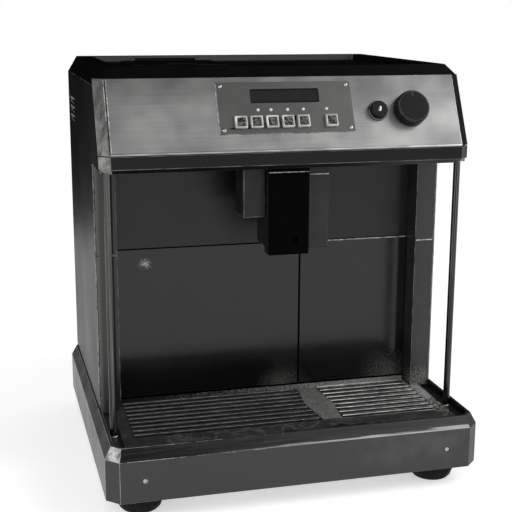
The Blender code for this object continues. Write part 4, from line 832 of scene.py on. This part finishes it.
# Pale beads painted as highlights along the hem and the corner folds, with a dark joint at the left corner.
fascia_bead("fascia_hem", hem_steel, (-201, foot_line + 1.5), (201, foot_line + 1.5),
            steel, 2.6, 0.45)
for name, finish, x, bottom, top, width in [
    ("corner_seam_1", seam_glint, -202.3, foot_line + 40, head_line - 1, 1.0),
    ("corner_seam_2", black_enamel, -201.1, foot_line + 1, head_line - 1, 1.4),
    ("corner_seam_3", seam_glint, -199.8, foot_line + 2, head_line - 1, 1.1),
    ("corner_seam_right", hem_steel, 200.6, foot_line + 2, head_line - 34, 1.3),
]:
    fascia_bead(name, finish, (x, bottom), (x, top), in_seam, width, 0.35)

softened("control_plate", 0.3, plate_steel, fold_highlight_steel)
plate_low, plate_high = span("control_plate", ON_FASCIA)
left, bottom, right, top = plate_low.x, plate_low.y, plate_high.x, plate_high.y
plate = plate_high.z
for name, finish, width, start, end in [
    ("plate_lip_left", seam_glint, 1.4, (left - 0.5, bottom), (left - 0.5, top - 1)),
    ("plate_lip_bottom", seam_glint, 0.8, (left, bottom - 0.3), (right, bottom - 0.3)),
    ("plate_seal_right", gasket, 1.3, (right + 0.5, bottom), (right + 0.5, top)),
    ("plate_seal_top", gasket, 0.8, (left, top + 0.3), (right, top + 0.3)),
]:
    fascia_bead(name, finish, start, end, steel, width, 0.4)

softened("display_window", 0.3, smoked_plastic)
low, high = span("display_window", ON_FASCIA)
middle, half = (low + high) / 2, (high - low) / 2
GASKET = [(-0.3, -0.3), (1.2, -0.3), (1.2, 0.3), (0.8, 0.55), (0.2, 0.55), (-0.3, 0.2)]
gasket_rings = framed(half.x, half.y, [(growth, 0.6 + growth, plate + rise, 0) for growth, rise in GASKET],
                      (middle.x, middle.y))
keep("window_gasket", shell(gasket_rings, ON_FASCIA, hollow=True), "machine", [gasket])

# A key's frame stands 0.7 mm over its lens, which is domed.
KEY_HALF = 7.0
KEY = [(0, 1.0, -0.8, 0), (-0.2, 0.9, -0.25, 0), (-0.6, 0.8, 0, 0), (-1.5, 0.7, 0, 0),
       (-1.85, 0.6, -0.2, 0), (-1.9, 0.6, -0.7, 0), (-2.1, 0.6, -0.6, 1), (-3.0, 0.9, -0.3, 1),
       (-4.8, 0.9, -0.1, 1), (-6.1, 0.4, -0.05, 1)]
for number in range(1, 7):
    button = "button_%d" % number
    low, high = span(button, ON_FASCIA)
    rings = framed(KEY_HALF, KEY_HALF, [(0, 1.0, low.z - high.z, 0), *KEY])
    keep("framed_key_%d" % number, shell(rings, over(button, high.z, ON_FASCIA)), button,
         [key_lacquer, key_lens], [button])

DOME = [(1.75, -0.2), (1.75, 0.35), (1.45, 0.75), (0.9, 1.0), (0.3, 1.08)]
low, high = span("indicator_light_pipe", ON_FASCIA)
lights = [low.x + 3.0, low.x + 17.7, low.x + 36.6, low.x + 54.9, high.x - 3.0]
domes = [shell(turned(DOME, 20), at(x, (low.y + high.y) / 2, plate, ON_FASCIA)) for x in lights]
keep("indicator_domes", merged(*domes), "machine", [milky_plastic])

for number in range(1, 5):
    screw = "plate_screw_%d" % number
    cross_screw(screw, over(screw, plate, ON_FASCIA), 2.3, 1.2, 3.5)

softened("selector_knob", 0.9, knob_plastic, knob_edge, segments=3)
softened("lock_collar", 0.3, chrome)
softened("lock_cylinder", 0.3, lock_plastic)
lock_face = over("lock_cylinder", span("lock_cylinder", ON_FASCIA)[1].z, ON_FASCIA)
shutter = framed(1.6, 3.1, [(0, 1.2, -0.6, 0), (0, 1.2, 0.2, 0), (-0.3, 1.0, 0.45, 0)])
keyway = [(rounded(0.35, 2.0, 0.15), 0.45, 0), (rounded(0.3, 1.9, 0.12), -0.4, 1)]
keep("keyway_shutter", shell(shutter + keyway, lock_face @ Matrix.Rotation(-0.25, 4, "Z")), "lock_cylinder",
     [zinc_screw, black_plastic])


# ------------ base, feet, back and insides

for side in ("left", "right"):
    screw = "base_screw_" + side
    cross_screw(screw, over(screw, span(screw, TO_FRONT)[1].z - 1.0, TO_FRONT), 2.7, 1.0, 8.5)

RIB_COUNT, RIB_RADIUS, RIB_MIDDLE = 36, 25.3, 15
for name in ("foot_front_left", "foot_front_right", "foot_rear_left", "foot_rear_right"):
    softened(name, 0.6, rubber)
    rib = shell(framed(0.9, 1.0, [(0, 0.4, -6, 0), (0, 0.4, 6, 0)]), at(RIB_RADIUS, 0, 0))
    ribs = repeated(rib, RIB_COUNT, rubber, turn=math.tau / RIB_COUNT, place=over(name, RIB_MIDDLE))
    keep(name + "_grip_ribs", ribs, "machine", [rubber])

rear_screw = shell(screw_rings(3.2, 1.3, 2.0), TO_REAR)
back = span("rear_panel")[1].y
rows = [repeated(rear_screw.copy(), count, zinc_screw, pitch, place=at(x, back, z))
        for count, pitch, x, z in [(5, (0, 0, 86), -202, 104), (5, (0, 0, 86), 202, 104),
                                   (3, (101, 0, 0), -101, 104), (3, (101, 0, 0), -101, 448)]]
keep("rear_panel_screws", merged(*rows), "machine", [zinc_screw])

fan_hub = over("fan_frame", back + 1.0, TO_REAR)
WIRE = [(-0.7, 0), (0, -0.7), (0.7, 0), (0, 0.7)]
wires = [shell(turned([(radius + out, rise) for out, rise in WIRE], 48), fan_hub, hollow=True)
         for radius in (12, 20, 28, 36)]
spoke = shell(framed(18.5, 0.8, [(0, 0.3, -1.0, 0), (0, 0.3, 0.2, 0)], (20.5, 0)))
spokes = repeated(spoke, 4, zinc_plate, turn=math.pi / 2,
                  place=fan_hub @ Matrix.Rotation(math.pi / 4, 4, "Z"))
keep("fan_guard", merged(*wires, spokes), "machine", [zinc_plate])

louvre_front, louvre_rear, lowest_louvre, louvre_pitch = 120, 160, 414.6, 11.3
for side, face, edge in (("left", -1, span("side_panel_left")[0].x),
                         ("right", 1, span("side_panel_right")[1].x)):
    hood = bead((edge, louvre_front, lowest_louvre), (edge, louvre_rear, lowest_louvre), 2.4, 1.1,
                Vector((face, 0, 0)))
    keep("louvre_hoods_" + side, repeated(hood, 3, louvre_lip, pitch=(0, 0, louvre_pitch)), "machine",
         [louvre_lip])

for finish, names in [
    (zinc_plate, ["base_plate", "mid_shelf", "rear_panel", "pump"]), (zinc_screw, ["lid_hinge_pin"]),
    (black_plastic, ["brew_group", "fan_frame", "fan_rotor", "power_inlet", "knob_encoder"]),
    (black_enamel, ["chassis_floor"]), (smoked_plastic, ["bean_hopper"]), (copper, ["boiler"]),
    (grey_plastic, ["grinder"]), (board_plastic, ["control_board"]),
    (milky_plastic, ["indicator_light_pipe"]),
]:
    for name in names:
        NODES[name].material_slots[0].material = finish


# ------------ studio

def white_where_seen(tree, unseen, seen):
    """One strength for the camera, gloss and clear pieces, and another for the light on the object."""
    path = node(tree, "ShaderNodeLightPath").outputs
    gloss = node(tree, "ShaderNodeMath", {0: path["Is Camera Ray"], 1: path["Is Glossy Ray"]},
                 operation="MAXIMUM")
    clear = node(tree, "ShaderNodeMath", {0: gloss.outputs[0], 1: path["Is Transmission Ray"]},
                 operation="MAXIMUM")
    level = node(tree, "ShaderNodeMapRange", {0: clear.outputs[0], 3: unseen, 4: seen})
    return level.outputs[0]


def stage_plane(name, corners, material):
    """A flat part of the studio, which isn't part of the object."""
    mesh = bpy.data.meshes.new(name)
    mesh.from_pydata(corners, [], [(0, 1, 2, 3)])
    mesh.materials.append(material)
    made = bpy.data.objects.new(name, mesh)
    SCENE.collection.objects.link(made)
    return made


floor_paint, tree, shader, _ = surface("pale_studio_floor", {
    "Base Color": linear("e6e6e6"), "Roughness": 0.9, "Specular IOR Level": 0.0,
    "Emission Color": (1, 1, 1, 1)})
tree.links.new(white_where_seen(tree, 0.0, 0.5), shader.inputs["Emission Strength"])
stage_plane("studio_floor", [(-6, -6, 0), (6, -6, 0), (6, 9, 0), (-6, 9, 0)], floor_paint)

world = bpy.data.worlds.new("white_studio")
world.use_nodes = True
SCENE.world = world
backdrop = world.node_tree.nodes["Background"]
backdrop.inputs["Color"].default_value = (1, 1, 1, 1)
world.node_tree.links.new(white_where_seen(world.node_tree, 0.62, 1.0), backdrop.inputs["Strength"])

# Black flags behind and overhead: only gloss sees them, so the flat tops and the flank stay dark.
flag_cloth = surface("black_flag_cloth", {"Base Color": (0, 0, 0, 1), "Roughness": 1.0,
                                          "Specular IOR Level": 0.0})[0]
for name, corners in {
    "rear_flag": [(-5, 1.35, 0.01), (5, 1.35, 0.01), (5, 1.35, 4), (-5, 1.35, 4)],
    "overhead_flag": [(-3, -1.5, 2.2), (1.0, -1.5, 2.2), (1.0, 1.35, 2.2), (-3, 1.35, 2.2)],
}.items():
    flag = stage_plane(name, corners, flag_cloth)
    flag.visible_camera = flag.visible_diffuse = flag.visible_shadow = flag.visible_transmission = False


def softbox(name, place, target, size, power):
    """A square lamp at a place in metres, turned to a target."""
    lamp = bpy.data.lights.new(name, "AREA")
    lamp.size, lamp.energy = size, power
    made = bpy.data.objects.new(name, lamp)
    made.location = place
    made.rotation_euler = (Vector(target) - Vector(place)).to_track_quat("-Z", "Y").to_euler()
    SCENE.collection.objects.link(made)


softbox("key_softbox", (1.85, -1.25, 1.85), (0, 0, 0.25), 1.3, 26)
softbox("fill_softbox", (-1.7, -1.6, 1.3), (0, 0, 0.25), 1.4, 11)

SCENE.view_settings.view_transform = "Standard"
